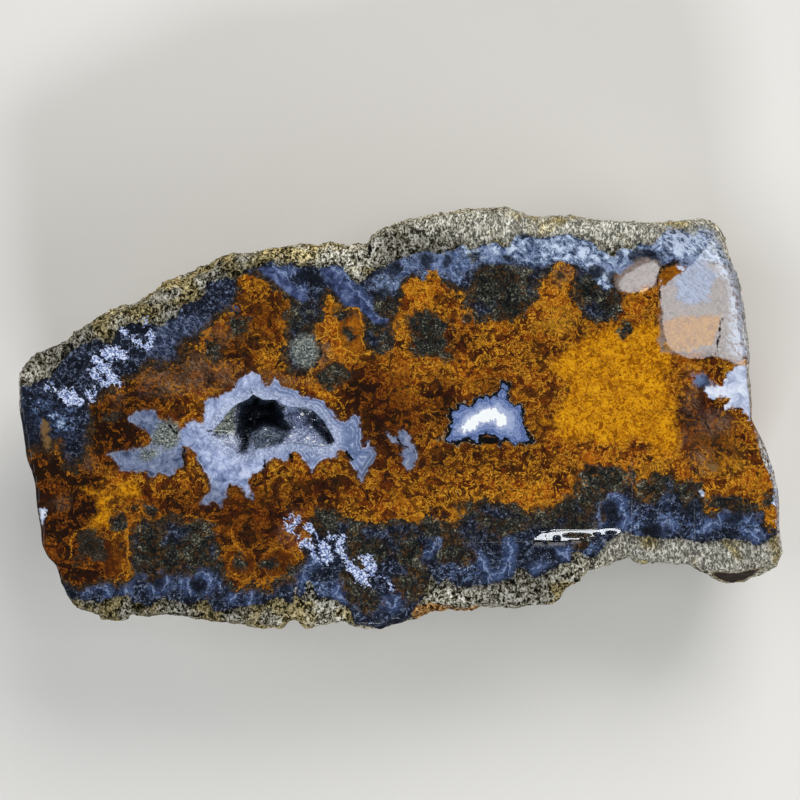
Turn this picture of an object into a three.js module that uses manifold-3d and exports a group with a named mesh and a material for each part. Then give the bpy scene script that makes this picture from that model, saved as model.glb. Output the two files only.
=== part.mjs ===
// A rough block of dendritic agate, sawn flat through the middle of its vein and lying on its back.
// The block keeps a skin of host rock along both long sides, is broken off at both ends, and has a
// hollow lined with quartz crystals that opens in the sawn face.
//
// Millimetres, +Z up, X along the block. The origin is at the middle of the bounding box's underside.

import * as THREE from "three";
import Module from "manifold-3d";
import { mergeVertices } from "three/addons/utils/BufferGeometryUtils.js";

const wasm = await Module();
wasm.setup();

// Driving dimensions.
const BLOCK_LENGTH = 168.5;
const BLOCK_THICKNESS = 44;
const HOLLOW_DEPTH = 15.5;
const CRUST_GAP = 0.45;
const CRUST_THICKNESS = 1.1;
const LEDGE_DEPTH = 1.1;
const LEDGE_START = 0.03;

// Places on the sawn face are read in pixels of the 800 x 800 photograph, whose x grows to the right
// and y downwards. The sawn block fills the columns from LEFT_PIXEL to RIGHT_PIXEL.
const LEFT_PIXEL = 17;
const RIGHT_PIXEL = 783;
const MIDDLE_PIXEL = [400, 420];
const MM_PER_PIXEL = BLOCK_LENGTH / (RIGHT_PIXEL - LEFT_PIXEL);

// The outline in four runs, clockwise from the left corner. Each point is [x, y, lip]: the lip is how
// far, in mm, the broken arris stands out past the sawn face.
const NORTH_ROCK = [
  [18, 372, 0.6], [27, 362, 0.9], [36, 353, 1.0], [47, 347, 1.0], [58, 343, 1.0], [70, 335, 1.1],
  [84, 327, 1.1], [100, 318, 1.1], [115, 311, 1.2], [133, 305, 1.2], [146, 298, 1.7], [158, 290, 2.1],
  [161, 285, 2.1], [176, 281, 1.9], [189, 275, 1.7], [207, 267, 1.5], [220, 261, 1.2], [235, 253, 1.2],
  [250, 252, 1.2], [270, 248, 1.6], [290, 245, 2.0], [308, 244, 2.2], [318, 247, 2.0], [330, 242, 2.2],
  [344, 246, 1.8], [356, 244, 1.6], [367, 244, 1.2], [373, 235, 0.8], [386, 229, 0.6], [400, 224, 0.5],
  [418, 218, 0.4], [432, 215, 0.4], [455, 212, 0.4], [480, 210, 0.4], [502, 209, 0.5], [516, 211, 0.5],
  [530, 217, 0.5], [552, 216, 0.4], [572, 218, 0.7], [590, 220, 0.4], [612, 220, 0.4], [635, 222, 0.6],
  [660, 224, 0.8], [680, 223, 1.0], [692, 220, 1.0],
];
const EAST_BREAK = [
  [704, 219, 1.4], [717, 223, 2.0], [724, 233, 2.4], [730, 250, 2.2], [735, 265, 1.6], [741, 286, 1.4],
  [746, 310, 1.4], [749, 335, 1.6], [751, 358, 1.0], [749, 374, 0.6], [752, 400, 0.6], [754, 420, 1.0],
  [762, 436, 1.5], [768, 455, 1.6], [774, 472, 1.3], [778, 492, 0.8], [779, 515, 0.6], [781, 538, 0.7],
];
const SOUTH_ROCK = [
  [783, 555, 1.0], [776, 565, 1.2], [762, 571, 1.0], [745, 573, 0.8], [722, 573, 0.5], [702, 570, 0.4],
  [685, 565, 0.3], [660, 562, 0.3], [642, 562, 0.3], [632, 556, 0.3], [622, 557, 0.3], [611, 563, 0.3],
  [598, 569, 0.4], [588, 570, 0.4], [580, 580, 0.4], [568, 588, 0.6], [562, 596, 0.8], [556, 604, 0.6],
  [540, 604, 0.3], [515, 606, 0.3], [495, 604, 0.3], [475, 605, 0.3], [455, 606, 0.3], [437, 607, 0.3],
  [420, 612, 0.3], [404, 619, 0.4], [390, 623, 0.5], [380, 628, 0.6], [362, 627, 0.4], [346, 621, 0.3],
  [330, 624, 0.3], [306, 627, 0.3], [297, 619, 0.3], [289, 619, 0.3], [281, 626, 0.3], [265, 626, 0.3],
  [245, 624, 0.3], [222, 623, 0.3], [200, 619, 0.3], [180, 615, 0.3], [158, 615, 0.3], [139, 615, 0.3],
  [132, 612, 0.3], [124, 619, 0.3], [104, 618, 0.3], [88, 612, 0.4],
];
const WEST_BREAK = [
  [74, 607, 0.5], [66, 596, 0.6], [60, 584, 0.4], [55, 566, 0.4], [46, 558, 0.5], [41, 545, 0.4],
  [41, 528, 0.4], [37, 508, 0.5], [34, 484, 0.4], [27, 458, 0.7], [24, 438, 0.6], [20, 416, 0.5],
  [18, 395, 0.4],
];

// How each run of the outline goes down from the face: belly is how far it swells at half depth and
// lean how far it has moved by the back, outwards positive. Lump and step are the sizes of its relief
// and grain is how rough its surface is. All of it together stays within SWELL_LIMIT of the outline,
// because the outline is the block's silhouette seen from above.
const WALLS = {
  northRock: { points: NORTH_ROCK, belly: 0.5, lean: -2.5, lump: 2.0, step: 0, grain: 0.4 },
  eastBreak: { points: EAST_BREAK, belly: 0.4, lean: -4.0, lump: 0.4, step: 1.8, grain: 0.12 },
  southRock: { points: SOUTH_ROCK, belly: 0.5, lean: -2.5, lump: 2.0, step: 0, grain: 0.4 },
  westBreak: { points: WEST_BREAK, belly: 0.3, lean: -5.0, lump: 0.4, step: 2.0, grain: 0.12 },
};
const SWELL_LIMIT = 0.5;
const WALL_SPACING = 3.4;
const NORMAL_SPREAD = 7;
const BLENDED_STEPS = [-2, -1, 0, 1, 2];
const WALL_DEPTHS = [
  0, 0.8, 2.4, 4.8, 7.8, 11.2, 14.8, 18.4, 22, 25.6, 29.2, 33, 37.2, 41.6, BLOCK_THICKNESS,
];
const LIP_DEPTH = 2.4;
const LIP_ROUNDING = 1.4;
const RELIEF_SETTLES = 6;
const BACK_ARRIS = 1.3;
const BACK_ARRIS_DEPTH = 1.8;

// Rock relief: coarse and fine lumps. Break relief: shallow bowls that meet in ridges. Each has the
// distance between its lumps and its share of the height.
const ROCK_COARSE = { every: 8, share: 0.75 };
const ROCK_FINE = { every: 3.4, share: 0.45 };
const BREAK_COARSE = { every: 11, share: 1 };
const BREAK_FINE = { every: 5, share: 0.5 };
const BREAK_RIDGE = 0.6;
const BREAK_BOWL = 1.6;

// Lumps of rock on the walls: pixel, depth, reach along and down, height. The knobs stand out past the
// outline, and the swells only fill the wall out to it.
const KNOBS = [
  { at: [735, 573], depth: 9, along: 5.5, down: 6, height: 2.6 },
  { at: [450, 608], depth: 5, along: 7, down: 3.2, height: 2.2 },
];
const SWELLS = [
  { at: [180, 279], depth: 16, along: 12, down: 8, height: 2.4 },
  { at: [520, 212], depth: 24, along: 15, down: 10, height: 3.2 },
  { at: [250, 624], depth: 22, along: 14, down: 9, height: 2.8 },
  { at: [640, 560], depth: 26, along: 12, down: 8, height: 3.4 },
];

// Flat breaks that took off corners below the face. Each is a plane, by a point on it and its outward
// direction, in mm from the middle of the outline, with z up from the back.
const FLAT_BREAK_ROUGHNESS = 1.1;
const FLAT_BREAKS = [
  { point: [-74, -6, 17], out: [-0.8, 0.12, -0.45] },
  { point: [-62, -33, 20], out: [-0.62, -0.62, -0.42] },
  { point: [-63, 24, 15], out: [-0.5, 0.7, -0.5] },
  { point: [-18, 37, 9], out: [-0.15, 0.75, -0.62] },
  { point: [36, 43.5, 13], out: [0.12, 0.8, -0.5] },
  { point: [74, 30, 22], out: [0.8, 0.42, -0.42] },
  { point: [80, -18, 15], out: [0.85, -0.1, -0.5] },
  { point: [75, -33, 9], out: [0.5, -0.72, -0.48] },
  { point: [12, -40, 10], out: [0.1, -0.8, -0.55] },
];

// The hollow's mouth, its middle, and its rings: depth below the face, share of the mouth's size, and
// how far the ring has moved, because the hollow dives under its upper lip.
const HOLLOW_MOUTH = [
  [209, 431], [214, 424], [220, 417], [228, 408], [236, 401], [246, 397], [251, 391], [257, 393], [264, 397],
  [272, 396], [278, 397], [283, 402], [292, 404], [302, 405], [311, 406], [319, 411], [326, 418], [331, 427],
  [336, 436], [338, 442], [334, 448], [325, 450], [314, 450], [302, 448], [291, 446], [281, 448], [270, 451],
  [259, 453], [251, 456], [243, 459], [235, 456], [228, 450], [219, 443], [212, 437],
];
const HOLLOW_MIDDLE = [272, 426];
const HOLLOW_RINGS = [
  { depth: 0, size: 1.0, move: [0, 0] },
  { depth: 2.2, size: 1.0, move: [0, 0.5] },
  { depth: 5, size: 0.97, move: [0, 1.2] },
  { depth: 8.5, size: 0.88, move: [0.3, 1.8] },
  { depth: 12, size: 0.68, move: [0.4, 2.0] },
  { depth: 14.5, size: 0.38, move: [0.4, 2.0] },
  { depth: HOLLOW_DEPTH, size: 0.12, move: [0.4, 2.0] },
];
const HOLLOW_RELIEF = 0.07;
const HOLLOW_RELIEF_EVERY = 3;
const HOLLOW_NARROWEST = 0.4;
const HOLLOW_FLOOR = 2;
const HOLLOW_INSET_SLANT = 1.25;
const ABOVE_FACE = 3;

// Quartz crystals on the crust: how many, their widths across, height for each mm of width, and the
// depths that they grow at. A spiral with the golden turn spreads them over the hollow's wall.
const CRYSTAL_COUNT = 27;
const CRYSTAL_SIDES = 6;
const CRYSTAL_WIDTHS = [2.2, 4.2];
const CRYSTAL_SLENDERNESS = 1.0;
const CRYSTAL_SHOULDER = 0.45;
const CRYSTAL_FOOT = 0.5;
const CRYSTAL_SUNK = 1.05;
const CRYSTAL_SHALLOWEST = 1.5;
const CRYSTAL_DEEPEST = 13.5;
const CRYSTAL_CROWDING = 0.8;
const CRYSTAL_SCATTER = 0.5;
const CRYSTAL_UPTURN = [0.15, 1.65];
const GOLDEN_TURN = 0.381966;

// Along the lower edge the saw met an older break, which leaves a low ledge that deepens eastwards.
const LEDGE_LINE = [[463, 543], [500, 541], [532, 540], [580, 534], [622, 530]];
const LEDGE_OUTER = [[629, 545], [634, 590], [560, 640], [463, 640]];

const MATERIALS = {
  agate: new THREE.MeshStandardMaterial({ color: 0x7a4517, roughness: 0.35, metalness: 0 }),
  quartz: new THREE.MeshStandardMaterial({ color: 0xa9b4c4, roughness: 0.18, metalness: 0 }),
};

/** A pixel of the photograph as a place on the face, in mm. */
function fromPhoto([x, y]) {
  return new THREE.Vector2((x - MIDDLE_PIXEL[0]) * MM_PER_PIXEL, (MIDDLE_PIXEL[1] - y) * MM_PER_PIXEL);
}

/** A repeatable number from 0 to 1 for three whole numbers. */
function scatter(i, j, k) {
  const wave = Math.sin(i * 127.1 + j * 311.7 + k * 74.7) * 43758.5453;
  return wave - Math.floor(wave);
}

/** Smooth lumps from -1 to 1 with a wavelength of about two units. */
function lumps(x, y, z) {
  const [i, j, k] = [Math.floor(x), Math.floor(y), Math.floor(z)];
  const ease = (t) => t * t * (3 - 2 * t);
  const [u, v, w] = [ease(x - i), ease(y - j), ease(z - k)];
  const mix = THREE.MathUtils.lerp;
  const edge = (dj, dk) => mix(scatter(i, j + dj, k + dk), scatter(i + 1, j + dj, k + dk), u);
  const side = (dk) => mix(edge(0, dk), edge(1, dk), v);
  return 2 * mix(side(0), side(1), w) - 1;
}

/** Lumps at two sizes, added up. */
function twoLumps(x, y, z, coarse, fine) {
  const layer = ({ every, share }, start) => share * lumps(x / every + start, y / every, z / every);
  return layer(coarse, 0) + layer(fine, 9);
}

/** Coarse and fine lumps of weathered host rock. */
function rockRelief(x, y, z) {
  return twoLumps(x, y, z, ROCK_COARSE, ROCK_FINE);
}

/** Shell-like steps of broken agate: shallow bowls that meet in ridges. */
function breakRelief(x, y, z) {
  return BREAK_RIDGE - BREAK_BOWL * Math.abs(twoLumps(x, y, z, BREAK_COARSE, BREAK_FINE));
}

/** The outline's corners, counter-clockwise, with points between them where they are far apart. */
function outlinePoints() {
  const corners = Object.values(WALLS).flatMap(({ points, ...shape }) => points.map(([x, y, lip]) => ({
    place: fromPhoto([x, y]), lip, ...shape,
  })));
  corners.reverse();
  return corners.flatMap((from, i) => {
    const to = corners[(i + 1) % corners.length];
    const parts = Math.ceil(from.place.distanceTo(to.place) / WALL_SPACING);
    return Array.from({ length: parts }, (_, n) => ({
      ...from,
      place: from.place.clone().lerp(to.place, n / parts),
      lip: THREE.MathUtils.lerp(from.lip, to.lip, n / parts),
    }));
  });
}

/** The outline as wall points that face outwards, each run's shape blended into the next one's. */
function wallOutline() {
  const points = outlinePoints();
  const near = (n, reach) => points[(n + reach + points.length) % points.length];
  return points.map((point, n) => {
    const run = near(n, NORMAL_SPREAD).place.clone().sub(near(n, -NORMAL_SPREAD).place).normalize();
    const smooth = { place: point.place, lip: point.lip, out: new THREE.Vector2(run.y, -run.x) };
    for (const key of ["belly", "lean", "lump", "step", "grain"]) {
      smooth[key] = BLENDED_STEPS.reduce((sum, step) => sum + near(n, step)[key], 0) / BLENDED_STEPS.length;
    }
    return smooth;
  });
}

/** How far a few lumps of rock stand out at a wall point and a depth below the face. */
function standOut(rockLumps, point, depth) {
  return rockLumps.reduce((height, lump) => {
    const away = point.place.distanceTo(fromPhoto(lump.at)) / lump.along;
    const down = (depth - lump.depth) / lump.down;
    return height + lump.height * Math.exp(-away * away - down * down);
  }, 0);
}

/** How far a wall point stands out from the outline at a depth below the face. */
function wallOffset(point, depth) {
  const share = depth / BLOCK_THICKNESS;
  const height = BLOCK_THICKNESS - depth;
  const { x, y } = point.place;
  const settled = THREE.MathUtils.smoothstep(depth, 0, RELIEF_SETTLES);
  let offset = point.belly * Math.sin(Math.PI * share) + point.lean * share * share;
  offset += settled * (point.lump * rockRelief(x, y, height) + point.step * breakRelief(x, y, height));
  offset += standOut(SWELLS, point, depth);
  if (offset > 0) offset = SWELL_LIMIT * (1 - Math.exp(-offset / SWELL_LIMIT));
  offset += standOut(KNOBS, point, depth);
  offset -= point.lip * Math.max(0, 1 - depth / LIP_DEPTH) ** LIP_ROUNDING;
  offset -= BACK_ARRIS * (1 - THREE.MathUtils.smoothstep(height, 0, BACK_ARRIS_DEPTH));
  return offset;
}

/** Moves a wall point level inwards where it lies past one of the flat breaks. */
function breakOff(place, z) {
  const rough = FLAT_BREAK_ROUGHNESS * breakRelief(place.x, place.y, z);
  for (const { point, out } of FLAT_BREAKS) {
    const offset = new THREE.Vector3(place.x, place.y, z).sub(new THREE.Vector3(...point));
    const past = offset.dot(new THREE.Vector3(...out)) - rough;
    const level = new THREE.Vector2(out[0], out[1]);
    if (past > 0) place.addScaledVector(level, -past / level.lengthSq());
  }
  return place;
}

/** A closed skin over rings that each have the same number of points, listed from the top down. */
function loft(rings) {
  const count = rings[0].length;
  const positions = rings.flatMap((ring) => ring.flatMap((p) => [p.x, p.y, p.z]));
  const index = [];
  for (let r = 0; r + 1 < rings.length; r++) {
    for (let n = 0; n < count; n++) {
      const [a, b] = [r * count + n, r * count + ((n + 1) % count)];
      index.push(a, a + count, b, b, a + count, b + count);
    }
  }
  const cap = (r) => THREE.ShapeUtils.triangulateShape(rings[r].map((p) => new THREE.Vector2(p.x, p.y)), []);
  for (const [a, b, c] of cap(0)) index.push(a, b, c);
  const last = (rings.length - 1) * count;
  for (const [a, b, c] of cap(rings.length - 1)) index.push(last + a, last + c, last + b);
  const geometry = new THREE.BufferGeometry();
  geometry.setAttribute("position", new THREE.Float32BufferAttribute(positions, 3));
  geometry.setIndex(index);
  return geometry;
}

/** The whole block before anything is cut out of it. */
function blockGeometry() {
  const outline = wallOutline();
  const rings = WALL_DEPTHS.map((depth, level) => outline.map((point, n) => {
    const inside = depth > 0 && depth < BLOCK_THICKNESS ? 1 : 0;
    const rough = inside * point.grain * 2 * (scatter(n, level, 3) - 0.5);
    const z = BLOCK_THICKNESS - depth + inside * point.grain * (scatter(n, level, 4) - 0.5);
    const place = point.place.clone().addScaledVector(point.out, wallOffset(point, depth) + rough);
    const kept = depth > LIP_DEPTH ? breakOff(place, z) : place;
    return new THREE.Vector3(kept.x, kept.y, z);
  }));
  return loft(rings);
}

/** The hollow as a solid, inset everywhere by a distance, with its top at a height over the face. */
function hollowGeometry(inset, above) {
  const middle = fromPhoto(HOLLOW_MIDDLE);
  const mouth = HOLLOW_MOUTH.map((pixel) => fromPhoto(pixel).sub(middle)).reverse();
  const ring = ({ depth, size, move }, height) => mouth.map((arm) => {
    const z = BLOCK_THICKNESS - depth + height;
    const [u, v, w] = [arm.x, arm.y, z].map((value) => value / HOLLOW_RELIEF_EVERY);
    const relief = depth > 0 ? HOLLOW_RELIEF * lumps(u, v, w) : 0;
    const reach = arm.length() * (size + relief) - inset * HOLLOW_INSET_SLANT;
    const end = arm.clone().setLength(Math.max(HOLLOW_NARROWEST, reach));
    return new THREE.Vector3(middle.x + move[0] + end.x, middle.y + move[1] + end.y, z);
  });
  const floorDepth = HOLLOW_DEPTH - HOLLOW_FLOOR;
  const rings = HOLLOW_RINGS.map((level) => ring(level, level.depth > floorDepth ? inset : 0));
  return loft(above > 0 ? [ring(HOLLOW_RINGS[0], above), ...rings] : rings);
}

/** The wedge of stone that is missing below the ledge's line. */
function ledgeGeometry() {
  const edge = [...LEDGE_LINE, ...LEDGE_OUTER].reverse();
  const [first, last] = [LEDGE_LINE[0][0], LEDGE_LINE.at(-1)[0]];
  const ring = (height) => edge.map((pixel) => {
    const place = fromPhoto(pixel);
    return new THREE.Vector3(place.x, place.y, BLOCK_THICKNESS + height(pixel[0]));
  });
  const floor = (x) => -LEDGE_DEPTH * THREE.MathUtils.clamp((x - first) / (last - first), LEDGE_START, 1);
  return loft([ring(() => ABOVE_FACE), ring(floor)]);
}

/** One six-sided crystal with a pointed end, its foot at the origin and its point along +Z. */
function crystalGeometry(width, height) {
  const [foot, shoulder] = [-CRYSTAL_FOOT * width, CRYSTAL_SHOULDER * height];
  const profile = [[0, foot], [width / 2, foot], [width / 2, shoulder], [0, height]];
  const geometry = new THREE.LatheGeometry(profile.map(([r, z]) => new THREE.Vector2(r, z)), CRYSTAL_SIDES);
  return geometry.rotateX(Math.PI / 2);
}

/** The hollow's size and shift at a depth, between its rings. */
function hollowAt(depth) {
  const n = Math.max(1, HOLLOW_RINGS.findIndex((level) => level.depth >= depth));
  const [upper, lower] = [HOLLOW_RINGS[n - 1], HOLLOW_RINGS[n]];
  const t = (depth - upper.depth) / (lower.depth - upper.depth);
  return {
    size: THREE.MathUtils.lerp(upper.size, lower.size, t),
    move: new THREE.Vector2(...upper.move).lerp(new THREE.Vector2(...lower.move), t),
  };
}

/** Where crystal n grows on the hollow's wall, which way it points and how wide it is. */
function crystalPlace(n) {
  const middle = fromPhoto(HOLLOW_MIDDLE);
  const mouth = HOLLOW_MOUTH.map((pixel) => fromPhoto(pixel).sub(middle));
  const share = (n + 0.5) / CRYSTAL_COUNT;
  const depth = THREE.MathUtils.lerp(CRYSTAL_SHALLOWEST, CRYSTAL_DEEPEST, share ** CRYSTAL_CROWDING);
  const turn = (n * GOLDEN_TURN * mouth.length) % mouth.length;
  const before = Math.floor(turn);
  const arm = mouth[before].clone().lerp(mouth[(before + 1) % mouth.length], turn % 1);
  const { size, move } = hollowAt(depth);
  arm.setLength(Math.max(HOLLOW_NARROWEST, arm.length() * size - CRYSTAL_SUNK));
  const level = middle.add(move).add(arm);
  const foot = new THREE.Vector3(level.x, level.y, BLOCK_THICKNESS - depth);
  const inward = new THREE.Vector3(-arm.x, -arm.y, 0).normalize();
  inward.z = THREE.MathUtils.lerp(...CRYSTAL_UPTURN, share ** 2);
  inward.x += CRYSTAL_SCATTER * (scatter(n, 1, 5) - 0.5);
  inward.y += CRYSTAL_SCATTER * (scatter(n, 2, 5) - 0.5);
  const width = THREE.MathUtils.lerp(...CRYSTAL_WIDTHS, scatter(n, 3, 5));
  return { foot, inward: inward.normalize(), width };
}

/** A three.js geometry as a manifold solid, its shared corners merged. */
function toSolid(geometry) {
  const bare = geometry.clone();
  bare.deleteAttribute("normal");
  bare.deleteAttribute("uv");
  const merged = mergeVertices(bare, 1e-4);
  return new wasm.Manifold(new wasm.Mesh({
    numProp: 3,
    vertProperties: new Float32Array(merged.attributes.position.array),
    triVerts: new Uint32Array(merged.index.array),
  }));
}

/** A manifold solid as a named mesh. */
function toMesh(name, solid, material) {
  const { vertProperties, triVerts } = solid.getMesh();
  const geometry = new THREE.BufferGeometry();
  geometry.setAttribute("position", new THREE.BufferAttribute(new Float32Array(vertProperties), 3));
  geometry.setIndex(new THREE.BufferAttribute(new Uint32Array(triVerts), 1));
  geometry.computeVertexNormals();
  const mesh = new THREE.Mesh(geometry, material);
  mesh.name = name;
  return mesh;
}

/** The agate block with its hollow and ledge cut out. */
function agateBlock() {
  const hollow = toSolid(hollowGeometry(0, ABOVE_FACE));
  return toSolid(blockGeometry()).subtract(hollow).subtract(toSolid(ledgeGeometry()));
}

/** The crust of quartz that lines the hollow, with its crystals grown into it. */
function quartzCrust() {
  const room = toSolid(hollowGeometry(CRUST_GAP, 0));
  const free = toSolid(hollowGeometry(CRUST_GAP + CRUST_THICKNESS, ABOVE_FACE));
  let crust = room.subtract(free);
  const up = new THREE.Vector3(0, 0, 1);
  for (let n = 0; n < CRYSTAL_COUNT; n++) {
    const { foot, inward, width } = crystalPlace(n);
    const crystal = crystalGeometry(width, width * CRYSTAL_SLENDERNESS);
    crystal.applyQuaternion(new THREE.Quaternion().setFromUnitVectors(up, inward));
    crystal.translate(foot.x, foot.y, foot.z);
    crust = crust.add(toSolid(crystal).intersect(room));
  }
  return crust;
}

const specimen = new THREE.Group();
specimen.add(toMesh("agate_block", agateBlock(), MATERIALS.agate));
specimen.add(toMesh("quartz_crystal_crust", quartzCrust(), MATERIALS.quartz));
specimen.updateMatrixWorld(true);
const box = new THREE.Box3().setFromObject(specimen);
specimen.position.set(-(box.min.x + box.max.x) / 2, -(box.min.y + box.max.y) / 2, 0);

export default specimen;
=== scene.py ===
"""The looks of a rough block of dendritic agate, sawn through its vein and lying on its back.

The block follows the solid in the frame. Its sawn face is painted by nodes from outlines that are read in
the photograph: moss, chalcedony, rind, the banded ring round the hollow and the closed blue pocket.
"""

import math

import bmesh
import bpy
import numpy as np
from bpy.props import FloatProperty, FloatVectorProperty, IntProperty, PointerProperty
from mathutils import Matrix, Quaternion, Vector
from mathutils.bvhtree import BVHTree


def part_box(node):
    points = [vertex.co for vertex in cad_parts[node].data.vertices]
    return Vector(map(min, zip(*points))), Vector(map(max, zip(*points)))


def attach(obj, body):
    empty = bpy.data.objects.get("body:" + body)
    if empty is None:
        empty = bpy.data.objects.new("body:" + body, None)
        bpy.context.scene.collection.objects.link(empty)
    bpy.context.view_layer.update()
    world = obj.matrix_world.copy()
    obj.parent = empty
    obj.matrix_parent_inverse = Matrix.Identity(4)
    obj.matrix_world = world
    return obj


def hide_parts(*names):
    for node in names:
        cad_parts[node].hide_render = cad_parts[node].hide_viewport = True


bl_info = {
    "name": "Dendritic agate block",
    "version": (1, 0, 0),
    "blender": (4, 5, 0),
    "location": "View3D > Sidebar > Agate",
    "description": "Builds the sawn agate block, its crystal crust and the stage it is shown on",
    "category": "Object",
}

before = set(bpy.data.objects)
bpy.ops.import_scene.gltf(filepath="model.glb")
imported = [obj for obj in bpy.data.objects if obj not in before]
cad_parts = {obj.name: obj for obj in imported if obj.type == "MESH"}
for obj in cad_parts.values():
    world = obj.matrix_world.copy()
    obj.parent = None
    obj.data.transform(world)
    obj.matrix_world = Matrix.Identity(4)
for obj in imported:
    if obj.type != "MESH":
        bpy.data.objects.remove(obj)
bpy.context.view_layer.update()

MM = 0.001
BLOCK_LENGTH = 168.5
LEFT_PIXEL, RIGHT_PIXEL = 17, 783
MM_PER_PIXEL = BLOCK_LENGTH / (RIGHT_PIXEL - LEFT_PIXEL)
MIDDLE_PIXEL = (400, 420)
MIDDLE_SHIFT = (-0.264, -0.407)
FACE_HEIGHT = 44.0
IMAGE_SIDE = 800
STEP_DEPTH = 1.1
WATER_SLOPE = math.tan(math.radians(26.3))
WATER_LINE = 529
LIP_REACH = 0.85
CRUST_RIM = 1.02
CRUST_THICKNESS = 1.0
CRUST_LIFT = 0.012

# How the pattern drifts and pinches out below the face, in mm.
DRIFT_EVERY = 16
DRIFT_SEEDS = (5, 6)
DRIFT_SLOPE = 0.22
DRIFT_MOST = 5
PINCH = 0.35

# The long sides are rind from a little below the face down to the back: heights and reaches in mm.
BACK_EDGE = 1.5
SIDE_REACH = 74
SKIN_START = 3
NOWHERE = -50
LEDGE_FOOT = 37.5
DROP_FOOT = 33.5
CRUMBLED_HEIGHTS = (37, 41)
FACE_HEIGHTS = (40, 42)
FACE_UPRIGHT = (0.6, 0.85)

# The mesh of the block, and where its relief starts and ends, in mm.
FINE_DEPTH = 3
LOW_THINNING = 4.0
WALL_START = (0.5, 3.0)
BACK_START = (0.2, 2.0)
HOLLOW_START = (-3.0, -1.0)
LIP_START = (-3.2, -1.5)
LIP_HEIGHTS = (FACE_HEIGHT - 3, FACE_HEIGHT - 0.8)
SMOOTHING = 0.5
SMOOTHING_ROUNDS = 3
COARSE_GRAINS = {"every": 2.2, "seed": 11}
FINE_GRAINS = {"every": 1.1, "seed": 21, "octaves": 2}
BREAK_LUMPS = {"every": 5, "seed": 31, "octaves": 5}
RIND_PITS = {"every": 1.3, "seed": 41, "octaves": 3}
RIND_PIT_DEPTH = 0.5

# Water in the saw step: its net of points, its thickness, and how far it stands off the stone, in mm.
WATER_COLUMNS, WATER_ROWS = 220, 22
WATER_THICKNESS = 0.8
WATER_LIFT = 0.01
WATER_BED = 0.25

# Steps of the hollow: how far each goes down, and where inside its outline it starts and ends, in mm.
RIM_STEP = (0.5, 0.0, 0.9)
RIM_SLOPE = (2.1, 0.4, 3.6)
LOBE_STEP = (2.6, -0.7, 1.3)
DUSKY_STEP = (1.6, -0.5, 1.5)
HOLE_STEP = (10.8, -0.5, 3.0)
LUMP_STEP = (2.2, -0.6, 1.6)
LUMP_FOOT = 5.5
CRUST_WAVE = 0.22
CRUST_START = (0.1, 0.9)
HOLLOW_LUMPS = {"every": 1.6, "seed": 61, "octaves": 4}
CRUST_LUMPS = {"every": 0.9, "seed": 71, "octaves": 3}

# Crystals in the hollow.
CRYSTAL_SIDES = 6
CRYSTAL_FOOT, CRYSTAL_SHOULDER = -0.5, 0.45
CRYSTAL_HEIGHTS = (0.5, 1.0)
CRYSTAL_SEED = 7
SIZE_SPREAD = 0.3
CRYSTAL_LEAN = 0.35
MOUTH_MARGIN = 0.5
TIP_MARGIN = 0.05

# Lights: name, place, width, height, power and colour.
LIGHTS = (
    ("key_panel", (0.45, 0.95, 1.05), 0.9, 0.9, 13.0, (1.0, 0.98, 0.95)),
    ("left_panel", (-1.05, 0.15, 0.9), 0.9, 0.9, 6.5, (0.95, 0.97, 1.0)),
    ("right_panel", (1.05, -0.35, 0.9), 0.9, 0.9, 5.0, (1.0, 1.0, 1.0)),
    ("front_strip", (0.07, -0.90, 0.69), 0.30, 0.15, 5.2, (0.92, 0.96, 1.0)),
)

# Panels that the wet face mirrors to the camera: name, two corners of the reflection in pixels, and power.
MIRRORED_PANELS = (
    ("window", ((655, 232), (765, 368)), 0.069),
    ("window_strip", ((614, 258), (663, 296)), 0.0087),
)
PANEL_HEIGHT = 0.5
PANEL_COLOR = (0.94, 0.97, 1)
ROOM_LIGHT = 0.05
FLOOR_SIDE = 6
NEAR_CLIP, FAR_CLIP = 0.01, 20

# Outlines on the sawn face, clockwise, in pixels of the 800 x 800 photograph.

# Everything inside the rind of host rock. Both ends of the block have no rind.
INSIDE_RIND = [
    (-20, 395), (18, 386), (35, 383), (50, 378), (60, 365), (70, 352), (80, 345), (95, 340), (110, 345),
    (119, 331), (128, 322), (142, 327), (152, 323), (161, 328), (168, 320), (176, 318), (183, 305),
    (197, 300), (205, 292), (210, 280), (230, 278), (243, 275), (252, 268), (262, 264), (272, 262),
    (281, 266), (290, 264), (300, 267), (320, 266), (335, 265), (345, 268), (350, 279), (358, 283),
    (367, 279), (373, 270), (381, 268), (392, 262), (402, 258), (412, 254), (422, 250), (436, 253),
    (448, 250), (455, 252), (462, 244), (470, 250), (480, 247), (488, 244), (495, 241), (503, 248),
    (510, 247), (514, 236), (524, 234), (540, 239), (550, 237), (568, 234), (580, 239), (590, 241),
    (600, 250), (613, 256), (620, 246), (630, 250), (640, 243), (650, 246), (664, 232), (680, 229),
    (694, 238), (700, 228), (712, 232), (720, 248), (728, 262), (735, 275), (742, 293), (760, 300),
    (820, 310), (820, 533), (781, 533), (770, 541), (755, 545), (740, 541), (720, 540), (700, 542),
    (680, 538), (660, 540), (645, 537), (632, 536), (622, 531), (612, 537), (606, 545), (600, 552),
    (592, 558), (585, 556), (578, 551), (572, 553), (570, 562), (556, 566), (540, 576), (532, 578),
    (527, 569), (517, 569), (514, 578), (500, 582), (480, 585), (458, 588), (447, 579), (438, 585),
    (430, 572), (427, 590), (420, 604), (416, 622), (400, 640), (358, 640), (350, 606), (338, 601),
    (326, 598), (319, 598), (313, 588), (309, 580), (306, 590), (300, 600), (296, 588), (291, 603),
    (275, 597), (262, 604), (240, 607), (215, 612), (205, 600), (192, 604), (180, 603), (165, 598),
    (150, 606), (133, 603), (128, 593), (115, 597), (100, 603), (70, 600), (40, 600), (-20, 560),
]

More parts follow.
